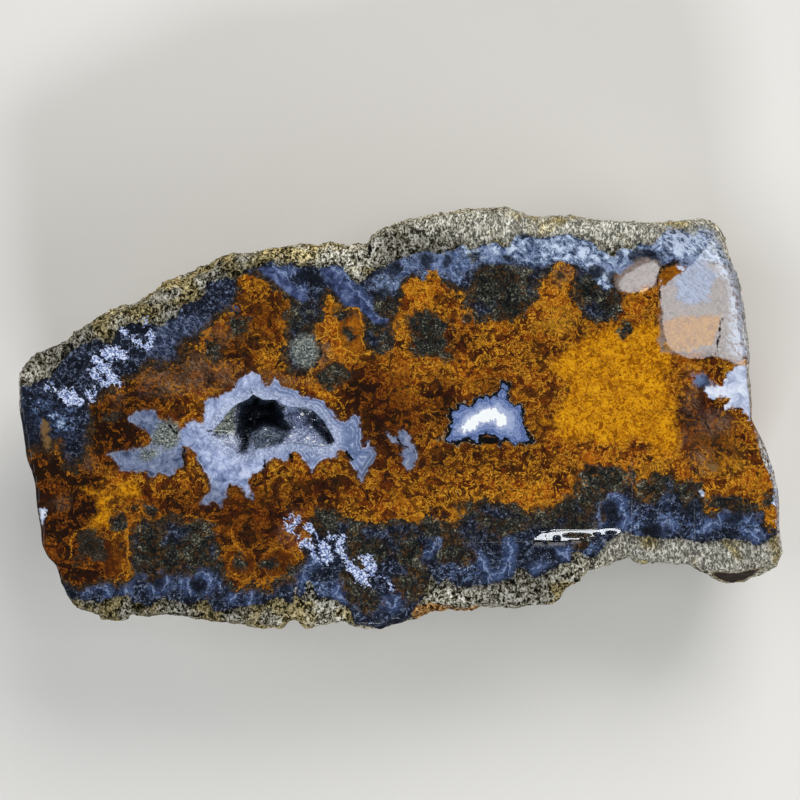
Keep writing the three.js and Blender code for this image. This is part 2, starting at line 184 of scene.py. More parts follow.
# The rusty moss that fills the middle of the vein.
MOSS = [
    (0, 458), (40, 455), (52, 450), (59, 460), (62, 468), (75, 473), (88, 468), (92, 450), (91, 425),
    (96, 408), (108, 398), (116, 386), (126, 382), (141, 373), (150, 365), (157, 374), (170, 366),
    (181, 362), (184, 350), (190, 340), (203, 334), (214, 328), (222, 318), (236, 315), (244, 300),
    (247, 281), (262, 278), (274, 283), (283, 290), (289, 300), (293, 309), (286, 318), (284, 330),
    (289, 342), (287, 362), (298, 374), (312, 372), (322, 362), (328, 345), (318, 340), (314, 324),
    (326, 318), (326, 302), (330, 296), (334, 308), (345, 308), (357, 309), (361, 318), (365, 326),
    (364, 338), (370, 350), (381, 352), (391, 346), (394, 330), (397, 315), (402, 300), (407, 281),
    (413, 276), (419, 285), (426, 289), (434, 277), (440, 281), (453, 285), (464, 297), (467, 306),
    (478, 318), (495, 320), (512, 318), (527, 308), (534, 297), (541, 282), (548, 278), (552, 264),
    (562, 262), (570, 268), (575, 285), (574, 297), (582, 315), (600, 322), (616, 318), (622, 300),
    (622, 285), (630, 272), (645, 268), (655, 275), (664, 266), (684, 266), (705, 272), (722, 284),
    (736, 302), (742, 330), (760, 362), (820, 380), (820, 445), (820, 522), (779, 522), (771, 519),
    (764, 508), (748, 507), (738, 500), (722, 502), (711, 515), (706, 500), (699, 482), (684, 480),
    (668, 478), (654, 476), (649, 494), (636, 490), (632, 470), (624, 476), (612, 470), (598, 472),
    (586, 478), (578, 488), (570, 504), (560, 508), (540, 514), (529, 516), (505, 507), (485, 505),
    (470, 510), (462, 518), (452, 520), (440, 520), (427, 517), (410, 522), (396, 520), (385, 526),
    (372, 520), (361, 524), (356, 538), (350, 526), (338, 512), (320, 514), (308, 520), (305, 540),
    (303, 555), (298, 566), (290, 576), (272, 578), (262, 585), (248, 587), (234, 583), (222, 572),
    (216, 545), (205, 530), (190, 522), (165, 518), (143, 520), (131, 535), (128, 566), (117, 580),
    (100, 582), (83, 587), (66, 576), (50, 562), (0, 550),
]

# Flat plates of rust with thin bright edges.
PLATES = [
    [(98, 534), (110, 540), (126, 528), (129, 545), (126, 568), (116, 580), (104, 578), (100, 556)],
    [(408, 516), (422, 514), (423, 530), (420, 540), (425, 548), (415, 546), (408, 534)],
    [(449, 514), (456, 522), (458, 534), (464, 544), (456, 541), (451, 530)],
    [(354, 522), (361, 524), (360, 532), (357, 540), (353, 532)],
    [(388, 526), (396, 530), (398, 546), (392, 545)],
    [(315, 324), (320, 322), (326, 330), (323, 338), (317, 339)],
    [
        (334, 310), (346, 309), (358, 311), (364, 328), (363, 342), (370, 352), (356, 356), (340, 345),
        (338, 330),
    ],
    [
        (222, 560), (230, 549), (242, 545), (252, 552), (256, 562), (253, 575), (243, 583), (230, 579),
        (223, 570),
    ],
    [(706, 486), (722, 492), (724, 502), (716, 506), (710, 502)],
    [(634, 480), (646, 476), (648, 490), (638, 492)],
    [(260, 560), (268, 552), (280, 548), (292, 552), (298, 562), (292, 572), (280, 578), (266, 576)],
]

# The patch of solid yellow ochre in the moss, and its small arm far to the left.
OCHRE = [
    (556, 365), (568, 344), (585, 336), (606, 330), (632, 324), (652, 316), (662, 322), (668, 345),
    (672, 390), (675, 410), (678, 425), (676, 440), (668, 450), (655, 452), (645, 440), (630, 437),
    (610, 442), (570, 438), (550, 420), (552, 410), (565, 405), (570, 395), (562, 380),
]
OCHRE_ARM = [
    (128, 484), (136, 484), (139, 491), (130, 497), (116, 500), (108, 506), (109, 523), (96, 526),
    (89, 519), (98, 512), (97, 502), (102, 497), (92, 496), (85, 490), (95, 487), (106, 494), (116, 489),
]

# The lavender chalcedony round the hollow, with its lobe to the left, and the small spur to the right.
RING = [
    (127, 419), (132, 415), (138, 411), (149, 409), (156, 412), (160, 419), (168, 425), (172, 430),
    (178, 432), (183, 427), (190, 421), (197, 420), (204, 424), (203, 415), (206, 408), (204, 402),
    (210, 398), (218, 397), (222, 393), (228, 391), (234, 390), (235, 384), (238, 379), (243, 376),
    (248, 374), (252, 370), (254, 375), (258, 374), (262, 379), (265, 385), (269, 387), (272, 383),
    (275, 378), (279, 384), (283, 387), (290, 388), (296, 391), (300, 396), (308, 397), (314, 398),
    (320, 399), (325, 403), (330, 410), (335, 416), (339, 421), (344, 423), (350, 418), (354, 413),
    (358, 418), (360, 428), (361, 436), (360, 443), (363, 449), (367, 447), (368, 440), (371, 446),
    (375, 451), (378, 456), (372, 463), (368, 470), (364, 477), (362, 482), (358, 475), (354, 469),
    (350, 461), (346, 451), (341, 450), (336, 455), (331, 460), (326, 458), (320, 460), (315, 466),
    (312, 472), (308, 466), (304, 459), (298, 451), (293, 450), (290, 457), (286, 463), (277, 458),
    (270, 459), (265, 464), (264, 470), (257, 472), (251, 476), (248, 481), (252, 493), (252, 499),
    (246, 496), (243, 490), (237, 486), (230, 484), (226, 489), (226, 497), (222, 507), (216, 504),
    (214, 500), (207, 506), (200, 506), (202, 499), (210, 490), (212, 483), (207, 475), (203, 468),
    (198, 460), (194, 451), (189, 446), (184, 447), (183, 457), (185, 466), (178, 469), (171, 476),
    (165, 474), (158, 472), (151, 480), (147, 473), (139, 471), (130, 472), (121, 471), (116, 463),
    (116, 458), (108, 454), (117, 452), (132, 449), (147, 447), (152, 441), (148, 435), (142, 429),
    (134, 424),
]
SPUR = [
    (387, 431), (391, 436), (397, 437), (399, 430), (404, 429), (408, 434), (412, 443), (417, 455),
    (416, 466), (408, 471), (402, 464), (401, 453), (404, 448), (401, 442), (394, 443), (389, 439),
]
HOLLOW_RIM = [
    (207, 431), (213, 423), (219, 416), (227, 407), (235, 400), (246, 396), (251, 390), (257, 392),
    (264, 396), (278, 396), (283, 401), (292, 403), (311, 405), (320, 410), (327, 417), (333, 427),
    (338, 437), (340, 442), (335, 449), (325, 451), (302, 449), (291, 447), (281, 449), (270, 452),
    (259, 454), (251, 457), (243, 460), (234, 457), (227, 451), (218, 444), (211, 438),
]

# The closed blue pocket and its white heart.
POCKET = [
    (440, 438), (446, 435), (450, 431), (449, 425), (452, 421), (449, 416), (450, 410), (457, 409),
    (460, 405), (472, 404), (475, 400), (480, 396), (490, 397), (497, 393), (500, 388), (503, 381),
    (509, 385), (508, 394), (509, 400), (513, 403), (520, 405), (523, 415), (524, 424), (526, 432),
    (530, 438), (536, 441), (521, 444), (514, 445), (510, 441), (505, 440), (499, 446), (497, 439),
    (493, 436), (486, 433), (481, 437), (478, 443), (471, 439), (465, 440), (460, 443), (452, 441),
    (446, 442),
]
POCKET_HEART = [
    (457, 430), (463, 424), (466, 420), (473, 417), (480, 412), (484, 409), (494, 408), (500, 412),
    (506, 415), (508, 419), (506, 424), (501, 427), (496, 425), (494, 420), (486, 422), (479, 423),
    (476, 428), (470, 430), (465, 432),
]

# Pale chalcedony at both breaks, with two white glints by the amber chip that are painted highlights, blue
# bands below the top rind, and the striped blue corner at the left.
PALE_CHIPS_AND_PAINTED_GLINTS = [
    [
        (704, 392), (706, 386), (712, 384), (722, 383), (727, 377), (733, 370), (740, 366), (751, 370),
        (754, 395), (753, 416), (746, 415), (740, 409), (734, 411), (728, 408), (724, 405), (730, 401),
        (728, 398), (720, 398), (713, 401), (707, 399),
    ],
    [(38, 508), (46, 510), (45, 520), (42, 528), (39, 520)],
    [(762, 456), (767, 457), (775, 470), (773, 474), (765, 466)],
    [(700, 490), (705, 491), (702, 495)],
    # Two white glints by the amber chip: painted highlights.
    [(676, 267), (683, 266), (685, 270), (679, 271)],
    [(659, 282), (662, 282), (661, 286), (659, 285)],
]
# Pale blue-white frost at the top right: partly the stone's pale colour, partly painted reflection.
FROST_AND_PAINTED_REFLECTION = [
    (664, 228), (690, 232), (705, 222), (722, 236), (740, 270), (748, 310), (748, 356), (734, 352),
    (729, 330), (728, 285), (712, 262), (695, 254), (680, 252), (665, 246),
]
TOP_BAND = [
    (392, 262), (412, 252), (436, 250), (455, 250), (462, 242), (480, 245), (495, 239), (505, 246),
    (514, 234), (540, 236), (568, 232), (592, 240), (613, 254), (620, 244), (650, 242), (664, 232),
    (700, 230), (725, 262), (705, 268), (690, 262), (655, 264), (640, 266), (626, 276), (616, 288),
    (602, 290), (590, 276), (576, 267), (560, 262), (546, 268), (530, 269), (515, 263), (500, 265),
    (482, 263), (470, 270), (462, 286), (440, 278), (424, 286), (412, 273), (402, 285), (396, 297),
    (384, 300), (374, 294), (370, 279), (380, 270),
]
PLUMES = [
    [
        (258, 268), (272, 266), (284, 272), (289, 279), (297, 283), (304, 290), (309, 299), (303, 303),
        (292, 296), (284, 290), (274, 281), (264, 276),
    ],
    [(231, 312), (236, 303), (246, 298), (254, 291), (259, 295), (253, 305), (243, 311)],
    [
        (320, 269), (331, 267), (338, 272), (344, 272), (348, 281), (352, 288), (360, 292), (362, 298),
        (370, 305), (375, 313), (381, 318), (390, 319), (386, 324), (377, 325), (370, 321), (363, 313),
        (356, 307), (344, 306), (340, 299), (334, 290), (325, 282),
    ],
]
STRIPED_CORNER = [
    (150, 332), (165, 322), (180, 312), (198, 314), (212, 321), (217, 330), (205, 337), (194, 341),
    (186, 344), (184, 354), (181, 363), (172, 366), (163, 368), (156, 372), (151, 362), (146, 348),
]

# Where the wet face mirrors the window: one large patch and one small one, each inside a dry margin.
WINDOW_PATCHES = [
    [
        (659, 288), (664, 282), (674, 277), (684, 271), (694, 264), (700, 256), (706, 246), (716, 240),
        (726, 246), (736, 262), (742, 280), (750, 300), (756, 330), (754, 350), (748, 366), (738, 364),
        (728, 360), (716, 356), (700, 358), (686, 357), (676, 351), (667, 345), (664, 330), (662, 312),
        (660, 300),
    ],
    [
        (619, 284), (625, 276), (634, 270), (643, 266), (652, 262), (659, 266), (657, 276), (653, 286),
        (644, 291), (632, 292), (622, 291),
    ],
]

# The dry amber chip, the grey, blue and tan clouds under the window's reflection, which are partly the
# stone's colour and partly painted reflection, the tan patch, the blue tongue and the drop, whose dark lump
# below the face is painted shade.
AMBER = [
    (661, 285), (661, 274), (666, 268), (676, 265), (687, 266), (686, 270), (677, 275), (668, 281),
    (664, 290),
]
# Clouds under the window's reflection: partly the stone's colour, partly painted reflection.
GREY_CLOUD_AND_PAINTED_REFLECTION = [
    (660, 284), (676, 268), (700, 258), (738, 268), (748, 300), (750, 356), (736, 358), (700, 354),
    (662, 350), (658, 320),
]
BLUE_CLOUD_AND_PAINTED_REFLECTION = [(680, 262), (702, 254), (716, 276), (712, 300), (696, 310), (680, 300), (676, 280)]
TAN_CLOUD_AND_PAINTED_REFLECTION = [(664, 320), (690, 316), (722, 317), (718, 332), (712, 346), (690, 350), (664, 348)]
SAND = [
    [(43, 418), (50, 424), (51, 448), (46, 452), (42, 440)],
    [(708, 465), (715, 465), (716, 470), (710, 471)],
]
TONGUE = [(688, 374), (700, 369), (708, 376), (716, 383), (706, 388), (694, 385)]
# The drop: a lump of the lower side below the face, painted dark as shade.
DROP_WITH_PAINTED_SHADE = [
    (712, 571), (722, 573), (744, 572), (761, 568), (757, 577), (748, 585), (736, 588), (722, 583),
]
LEDGE = [
    (414, 607), (430, 603), (446, 605), (462, 608), (480, 604), (486, 615), (452, 622), (430, 622),
    (410, 618),
]
SMALL_CLOUD_AND_PAINTED_REFLECTION = [(620, 288), (624, 272), (634, 264), (648, 260), (659, 262), (657, 286), (640, 291)]

# The hollow, read from above.
DEEP_HOLE = [
    (236, 403), (240, 399), (247, 396), (249, 393), (253, 391), (257, 393), (261, 397), (267, 398),
    (273, 396), (276, 395), (278, 400), (280, 404), (285, 404), (285, 410), (284, 418), (287, 424),
    (290, 428), (286, 433), (278, 432), (268, 429), (258, 431), (252, 436), (250, 442), (248, 447),
    (245, 452), (241, 453), (239, 449), (240, 444), (237, 438), (234, 434), (236, 428), (233, 422),
    (236, 414), (235, 407),
]
DARK_LOBE = [
    (302, 409), (310, 410), (318, 411), (325, 415), (330, 421), (333, 428), (335, 435), (336, 441),
    (332, 444), (327, 443), (324, 438), (321, 432), (316, 428), (313, 422), (308, 417), (303, 414),
]
DUSKY_SLOPE = [
    (284, 404), (292, 404), (300, 406), (305, 411), (310, 417), (316, 422), (320, 428), (312, 428),
    (303, 427), (296, 428), (290, 431), (285, 428), (284, 416),
]
LEFT_DRUSE = [
    (206, 432), (210, 424), (216, 414), (223, 405), (233, 399), (237, 408), (235, 418), (236, 428),
    (238, 435), (230, 435), (218, 435), (209, 435),
]
GREY_LUMP = [
    (251, 442), (254, 434), (262, 430), (270, 429), (280, 432), (287, 435), (284, 442), (276, 447),
    (266, 449), (257, 448),
]

# Ovals: middle x, middle y, half width, half height, in pixels.
MURK = [
    (432, 338, 24, 22), (424, 326, 14, 12), (328, 522, 15, 14), (90, 547, 18, 14), (84, 556, 10, 8),
    (163, 550, 12, 8), (271, 563, 9, 7), (211, 353, 9, 13), (240, 325, 6, 8), (628, 326, 6, 5),
    (637, 308, 5, 5), (345, 314, 6, 5), (350, 334, 3, 5), (488, 290, 22, 22), (508, 300, 22, 20),
    (512, 280, 16, 12), (592, 292, 18, 16), (606, 304, 16, 16), (376, 326, 10, 14), (382, 344, 10, 12),
    (386, 304, 9, 14), (236, 562, 7, 9), (150, 512, 5, 4), (134, 508, 4, 3), (592, 478, 14, 12),
    (612, 478, 18, 13), (585, 496, 10, 12), (301, 316, 15, 20), (112, 418, 4, 3), (150, 548, 14, 22),
    (172, 556, 15, 18), (198, 546, 16, 24), (214, 566, 10, 14), (356, 533, 12, 12), (378, 552, 24, 16),
    (398, 538, 12, 14), (408, 556, 16, 24), (404, 580, 12, 14), (434, 530, 14, 10), (450, 548, 18, 12),
    (482, 520, 18, 9), (508, 526, 20, 11), (538, 518, 16, 9), (568, 505, 10, 14), (580, 524, 16, 14),
    (656, 488, 14, 10), (684, 493, 17, 9), (730, 502, 16, 5), (757, 501, 12, 5), (358, 586, 14, 14),
    (372, 598, 12, 12), (335, 375, 11, 10), (470, 317, 6, 5), (470, 505, 12, 7), (120, 520, 6, 6),
    (500, 272, 30, 9),
]
HAZE = [
    (545, 252, 62, 17), (522, 250, 26, 15), (578, 262, 20, 14), (608, 280, 16, 10), (450, 268, 40, 10),
    (388, 282, 18, 13), (188, 328, 24, 13), (168, 352, 14, 12), (60, 422, 22, 18), (40, 405, 18, 14),
    (462, 565, 20, 22), (508, 555, 8, 22), (588, 545, 20, 12), (598, 510, 6, 22), (662, 500, 14, 10),
    (695, 530, 12, 16), (757, 528, 14, 14), (775, 530, 10, 10), (98, 588, 12, 6), (250, 598, 24, 8),
    (320, 590, 26, 12), (410, 570, 8, 26), (246, 301, 13, 9), (240, 308, 12, 5), (336, 372, 8, 9),
    (358, 510, 6, 9), (632, 530, 14, 12), (52, 508, 7, 9), (470, 258, 14, 8), (224, 337, 9, 7),
    (640, 286, 6, 6), (466, 319, 5, 3), (668, 516, 24, 13), (702, 524, 16, 13), (640, 518, 12, 14),
    (602, 514, 12, 16), (745, 526, 22, 11), (190, 582, 60, 8),
]
BRIGHT_MOSS = [
    (528, 494, 30, 15), (430, 294, 30, 15), (560, 318, 16, 12), (345, 335, 20, 26), (640, 300, 20, 24),
    (700, 450, 40, 26), (470, 378, 60, 12), (555, 300, 18, 14), (600, 455, 40, 14), (655, 466, 20, 14),
    (750, 478, 24, 14), (640, 405, 40, 40), (685, 350, 20, 40), (395, 385, 20, 30), (508, 500, 40, 12),
]
DUSKY_MOSS = [
    (60, 490, 50, 70), (75, 570, 40, 20), (180, 510, 70, 26), (115, 430, 34, 44), (250, 520, 60, 44),
    (150, 395, 44, 28), (280, 375, 34, 14), (300, 500, 34, 24), (355, 385, 20, 24), (360, 440, 18, 44),
    (490, 385, 34, 14), (540, 425, 14, 22), (500, 455, 50, 10), (440, 400, 22, 28), (700, 420, 18, 40),
    (215, 520, 40, 16), (130, 495, 20, 12), (600, 322, 30, 8), (700, 320, 46, 52), (235, 345, 26, 40),
    (430, 460, 40, 14), (395, 492, 26, 14), (266, 318, 26, 34), (320, 490, 44, 20), (462, 338, 20, 18),
    (540, 346, 16, 14), (250, 560, 60, 26), (165, 372, 52, 26), (714, 440, 32, 36), (395, 420, 36, 60),
]
CALM_MOSS = [
    (700, 425, 26, 44), (370, 400, 26, 44), (205, 372, 40, 20), (445, 405, 16, 30), (232, 470, 30, 16),
    (60, 490, 46, 66), (78, 560, 50, 34), (112, 432, 34, 46), (145, 392, 20, 18),
]
OLIVE_MOSS = [
    (714, 452, 36, 28), (655, 470, 22, 12), (480, 504, 32, 12), (735, 506, 24, 11), (560, 322, 28, 14),
]
PLUM_MOSS = [
    (292, 528, 14, 22), (369, 590, 12, 12), (712, 418, 24, 16), (684, 438, 12, 10), (146, 385, 10, 10),
    (205, 466, 8, 16),
]
CRUSTY_EDGES = [
    (752, 370, 8, 34), (768, 470, 12, 46), (784, 520, 6, 30), (748, 320, 6, 40), (20, 385, 8, 20),
]
# White glints in the hollow, painted as colour on the crust: painted highlights.
PAINTED_GLINTS = [
    (229, 407, 1.2, 0.9), (226, 412, 0.9, 0.9), (219, 425, 0.8, 0.8), (230, 421, 1.4, 0.7),
    (217, 419, 0.7, 0.9), (302, 413, 1.5, 1.4), (311, 426, 1.3, 0.8), (294, 427, 0.9, 0.9),
    (265, 430, 0.9, 0.7), (247, 421, 1.3, 0.8), (252, 423, 0.8, 0.8), (236, 399, 0.9, 0.9),
    (281, 399, 1.8, 1.6), (284, 402, 1.2, 1.0), (308, 437, 2.4, 1.0), (314, 441, 2.0, 0.9),
    (321, 445, 1.8, 0.8), (306, 442, 0.9, 1.6), (222, 455, 1.4, 0.7), (232, 462, 1.8, 0.7),
    (246, 458, 1.4, 0.7), (211, 441, 0.7, 1.2), (216, 449, 1.0, 0.8), (238, 466, 0.9, 0.8),
    (290, 436, 1.2, 0.8),
]
LINED_RING = [
    (304, 453, 18, 7), (330, 406, 34, 22), (352, 440, 12, 24), (366, 462, 10, 14), (286, 390, 16, 8),
]
DARK_PITS = [
    (648, 256, 15, 8), (476, 257, 6, 5), (508, 258, 5, 4), (595, 271, 5, 4), (614, 279, 3, 3),
    (424, 260, 11, 5), (396, 268, 8, 6), (447, 262, 5, 6), (366, 270, 9, 9), (384, 294, 9, 7),
    (410, 285, 8, 6), (312, 278, 20, 6), (611, 512, 7, 10), (734, 521, 8, 6), (690, 508, 8, 7),
    (655, 530, 9, 6), (200, 584, 8, 7), (160, 582, 6, 6),
]
DIM_BAND = [(420, 266, 60, 18), (386, 285, 20, 14), (650, 262, 30, 12), (500, 262, 30, 6)]
PALE_ROCK = [
    (560, 226, 100, 12), (680, 234, 56, 18), (300, 250, 60, 9), (470, 216, 56, 10), (455, 594, 22, 10),
    (340, 262, 20, 16), (718, 240, 16, 30),
]
SOFT_ROCK = [(560, 228, 100, 16), (680, 236, 56, 20), (705, 552, 90, 18), (620, 548, 20, 14)]
DIM_ROCK = [
    (80, 350, 60, 26), (180, 606, 110, 22), (500, 588, 90, 18), (395, 250, 20, 20), (100, 610, 50, 16),
    (240, 270, 40, 12), (430, 245, 30, 12), (180, 310, 34, 14),
]
YELLOW_ROCK = [
    (200, 280, 190, 40), (170, 615, 190, 26), (445, 612, 36, 8), (560, 600, 16, 16), (716, 240, 14, 34),
    (780, 552, 14, 22), (575, 220, 22, 5), (690, 226, 22, 6),
]
TAN_MOSS = [
    (198, 368, 22, 26), (172, 384, 20, 18), (225, 372, 24, 16), (562, 272, 14, 13), (215, 335, 20, 8),
    (302, 350, 18, 20), (322, 352, 12, 18), (158, 372, 30, 16), (690, 400, 12, 40), (714, 424, 24, 12),
    (88, 462, 8, 14), (48, 432, 6, 20), (118, 396, 8, 12), (282, 380, 26, 10), (700, 460, 16, 16),
    (500, 278, 30, 10), (64, 506, 8, 8),
]
DRUSE_SPOTS = [(166, 436, 15, 16), (152, 454, 14, 6), (302, 352, 15, 17)]

# Water in the saw step: the upper and the lower edge of its meniscus.
WATER_TOP = [
    (533, 541), (536, 536), (542, 533), (552, 531.4), (565, 530.4), (580, 530), (595, 529.8), (606, 528.4),
    (614, 528), (621, 530),
]
WATER_FOOT = [
    (533, 542), (540, 543), (552, 543.6), (562, 543), (572, 541.2), (582, 539.6), (590, 537.6), (600, 535),
    (608, 534.6), (616, 535), (621, 532),
]

# Places in the water where it is flat and mirrors nothing: ovals in pixels.
WATER_FLATS = [
    (577, 535.4, 15, 2.2), (557, 538.6, 4, 2.8), (597, 534, 4, 1.6), (611, 532.6, 6, 1.7), (584, 540, 5, 1),
]

# Where crystals stand in the hollow: ovals in pixels. Then the few large ones: middle x, middle y in
# pixels, width in mm.
CRYSTAL_BEDS = [
    (222, 420, 14, 13), (230, 408, 9, 8), (313, 407, 16, 6), (311, 438, 16, 10), (282, 402, 5, 4),
    (332, 446, 10, 5), (262, 452, 24, 6), (300, 418, 14, 10), (226, 446, 12, 8), (246, 440, 10, 12),
]
LARGE_CRYSTALS = [
    (281, 399, 1.0), (285, 401, 0.8), (279, 402, 0.7), (301, 413, 0.8), (310, 426, 0.6), (294, 428, 0.5),
    (229, 407, 0.7), (226, 412, 0.6), (219, 425, 0.6), (247, 421, 0.5), (265, 430, 0.5), (252, 423, 0.4),
    (315, 440, 0.6), (309, 436, 0.5), (313, 444, 0.6), (320, 443, 0.5),
]

# Strokes: a half width in pixels, then the points of a line.
WHITE_FLECKS_AND_PAINTED_GLINTS = [
    (3.2, (123, 332), (134, 340), (147, 348)), (2.2, (145, 322), (150, 332), (151, 340), (147, 345)),
    (5, (106, 355), (114, 352), (122, 355)), (4, (95, 360), (102, 366), (110, 376), (116, 381)),
    (2.4, (103, 382), (112, 381), (120, 384)), (3.4, (92, 370), (98, 378), (104, 384)),
    (3, (89, 393), (92, 401)), (2.6, (95, 394), (98, 403)), (3.0, (54, 388), (60, 396), (68, 402)),
    (2.4, (66, 389), (72, 398), (82, 402)), (1.4, (46, 386), (54, 392)), (1.6, (62, 392), (72, 390)),
    (1.6, (110, 362), (104, 372), (98, 384)), (2.2, (284, 523), (291, 529)),
    (2.2, (291, 517), (294, 523), (299, 519)), (2, (294, 532), (299, 540)),
    (3.4, (307, 524), (311, 529), (316, 534)), (4.6, (302, 544), (307, 541), (308, 547)),
    (1.2, (312, 553), (318, 561)), (4, (322, 545), (325, 552), (328, 559)),
    (2.6, (327, 537), (336, 538), (344, 536)),
    # The two strokes along the right edge are white glints: painted highlights.
    (1.0, (747, 352), (750, 370), (752, 395), (752, 418), (757, 430)),
    (2.0, (757, 430), (764, 446), (769, 458), (774, 472), (778, 490), (779, 512), (781, 534)),
    (3, (341, 538), (341, 546)), (3, (340, 552), (345, 558)), (4.4, (350, 564), (356, 574), (367, 584)),
    (5, (365, 557), (369, 563), (373, 570)), (1, (381, 576), (388, 583), (394, 589)),
    (2, (362, 573), (366, 575)),
]
CRACKS = [
    (1.0, (168, 423), (172, 430), (178, 433)), (1.3, (184, 447), (183, 456), (185, 466)),
    (1.0, (396, 436), (401, 444)), (1.0, (660, 270), (657, 280), (659, 290), (661, 300)),
    (0.9, (662, 268), (668, 264), (677, 262), (688, 264)), (1.3, (366, 490), (368, 502)),
    (1.2, (404, 446), (409, 448)), (1.2, (264, 460), (266, 465), (263, 470)), (2.4, (291, 455), (292, 461)),
    (1.3, (722, 318), (719, 335), (716, 354)), (1.3, (209, 434), (216, 435), (226, 434), (234, 434)),
    (1.6, (346, 452), (352, 460)), (1.2, (206, 290), (210, 274)), (2.0, (367, 238), (370, 248), (369, 257)),
    (3.4, (485, 440), (496, 441)),
]
SEAMS = [
    (0.5, (632, 462), (632, 500), (631, 545)), (0.5, (694, 500), (695, 546)),
    (0.5, (463, 543), (500, 542), (532, 541)),
]
FILIGREE = [
    (0.9, (126, 592), (127, 583), (131, 576), (138, 571), (147, 570), (149, 577)),
    (0.9, (153, 592), (154, 580), (158, 573), (162, 566), (166, 572), (168, 580), (165, 586)),
    (0.9, (190, 592), (188, 581), (192, 575), (200, 573), (208, 574), (211, 580), (207, 590)),
    (0.9, (86, 591), (90, 586), (97, 587)), (0.8, (106, 588), (109, 593)),
    (0.9, (232, 600), (237, 593), (246, 589)), (0.9, (250, 604), (252, 592), (247, 586)),
    (0.8, (345, 600), (336, 594), (336, 588), (343, 584)), (0.8, (304, 568), (311, 565), (317, 561)),
    (0.8, (296, 574), (303, 570), (305, 578)), (0.8, (372, 608), (379, 603), (387, 601), (392, 607)),
    (0.9, (395, 606), (396, 600), (402, 596)), (0.9, (411, 562), (410, 571), (413, 578), (409, 588)),
    (0.9, (411, 562), (416, 555), (430, 552)), (0.9, (434, 549), (435, 541), (440, 535), (447, 532)),
    (0.8, (442, 548), (441, 541), (446, 537)), (1.6, (509, 543), (511, 551), (509, 560), (509, 568)),
    (0.8, (478, 556), (484, 562), (486, 571), (488, 578)), (0.8, (494, 576), (503, 573), (508, 566)),
    (0.9, (534, 569), (543, 565)), (0.9, (560, 552), (566, 557), (568, 550)),
    (1.5, (602, 526), (600, 515), (600, 504), (603, 498), (610, 495), (617, 496), (622, 500)),
    (1.0, (621, 505), (624, 512), (627, 519), (623, 527)),
    (1.2, (720, 522), (720, 513), (723, 510), (732, 512), (739, 509), (743, 512), (747, 518)),
    (1.0, (748, 521), (753, 515), (760, 513), (766, 520)), (0.9, (746, 531), (753, 534), (758, 540)),
    (1.0, (662, 531), (664, 523), (669, 520), (673, 527)), (0.7, (704, 530), (710, 522), (718, 524)),
    (1.0, (273, 263), (275, 269), (281, 272), (285, 271), (289, 280), (295, 283), (303, 290)),
    (0.9, (333, 268), (338, 272), (344, 271), (348, 280), (352, 288), (360, 292), (362, 298), (370, 305)),
    (0.9, (370, 305), (374, 312), (380, 318), (389, 319)),
    (0.9, (392, 270), (399, 273), (404, 272), (403, 262)),
    (0.9, (405, 264), (410, 266), (414, 268), (419, 262)),
    (1.0, (425, 256), (429, 263), (437, 268), (441, 260)),
    (1.0, (445, 257), (449, 264), (452, 271), (456, 276)), (1.0, (455, 252), (458, 259), (465, 266)),
    (1.2, (294, 270), (296, 276), (299, 279)), (1.4, (346, 274), (350, 282)),
    (1.0, (628, 268), (614, 272), (600, 266)), (0.8, (504, 252), (501, 258), (506, 262)),
    (0.8, (533, 250), (530, 256)), (0.9, (484, 250), (488, 256)), (0.8, (744, 486), (752, 485), (768, 480)),
    (0.8, (210, 430), (214, 431), (220, 431), (228, 432)),
    (0.9, (508, 402), (518, 405), (530, 404), (538, 404)),
    (0.9, (523, 407), (523, 414), (527, 419), (524, 426)),
]
GOLD_EDGES = [
    (0.7, (57, 452), (61, 463), (68, 472), (80, 471)), (0.7, (70, 556), (71, 541), (76, 532), (86, 528)),
    (0.9, (118, 513), (121, 522), (127, 532), (128, 546), (126, 560), (124, 568)),
    (0.7, (119, 510), (127, 514), (131, 506)),
    (0.8, (202, 338), (206, 352), (210, 362), (217, 370), (226, 363), (238, 360)),
    (0.8, (229, 567), (232, 558), (242, 555)), (0.8, (242, 555), (246, 565), (240, 574), (232, 571)),
    (0.8, (231, 530), (236, 545), (246, 552)), (0.8, (140, 505), (143, 513), (150, 508), (158, 512)),
    (0.8, (165, 516), (180, 518), (190, 515), (205, 520)),
    (0.8, (284, 316), (286, 328), (283, 340), (276, 350)),
    (0.9, (362, 340), (367, 350), (374, 345), (382, 350)),
    (1.0, (462, 300), (466, 310), (476, 316), (488, 330)),
    (1.0, (543, 285), (552, 290), (562, 288), (573, 296)),
    (0.9, (634, 462), (640, 470), (645, 478), (652, 482)),
    (1.0, (480, 472), (486, 466), (492, 472), (484, 480)), (0.9, (572, 470), (569, 484), (571, 496)),
    (0.9, (408, 512), (420, 510), (424, 525), (421, 538)),
    (1.0, (392, 480), (402, 486), (398, 496), (408, 502)), (0.9, (520, 480), (530, 486), (524, 496)),
    (0.9, (428, 355), (440, 362), (452, 358), (462, 366), (476, 364)),
    (1.0, (410, 372), (416, 380), (412, 388)), (0.9, (455, 325), (466, 330), (478, 342), (492, 344)),
    (0.8, (560, 330), (572, 326), (580, 334)), (0.8, (720, 452), (730, 462), (744, 460)),
    (0.8, (700, 448), (708, 456), (704, 466), (716, 474)),
]

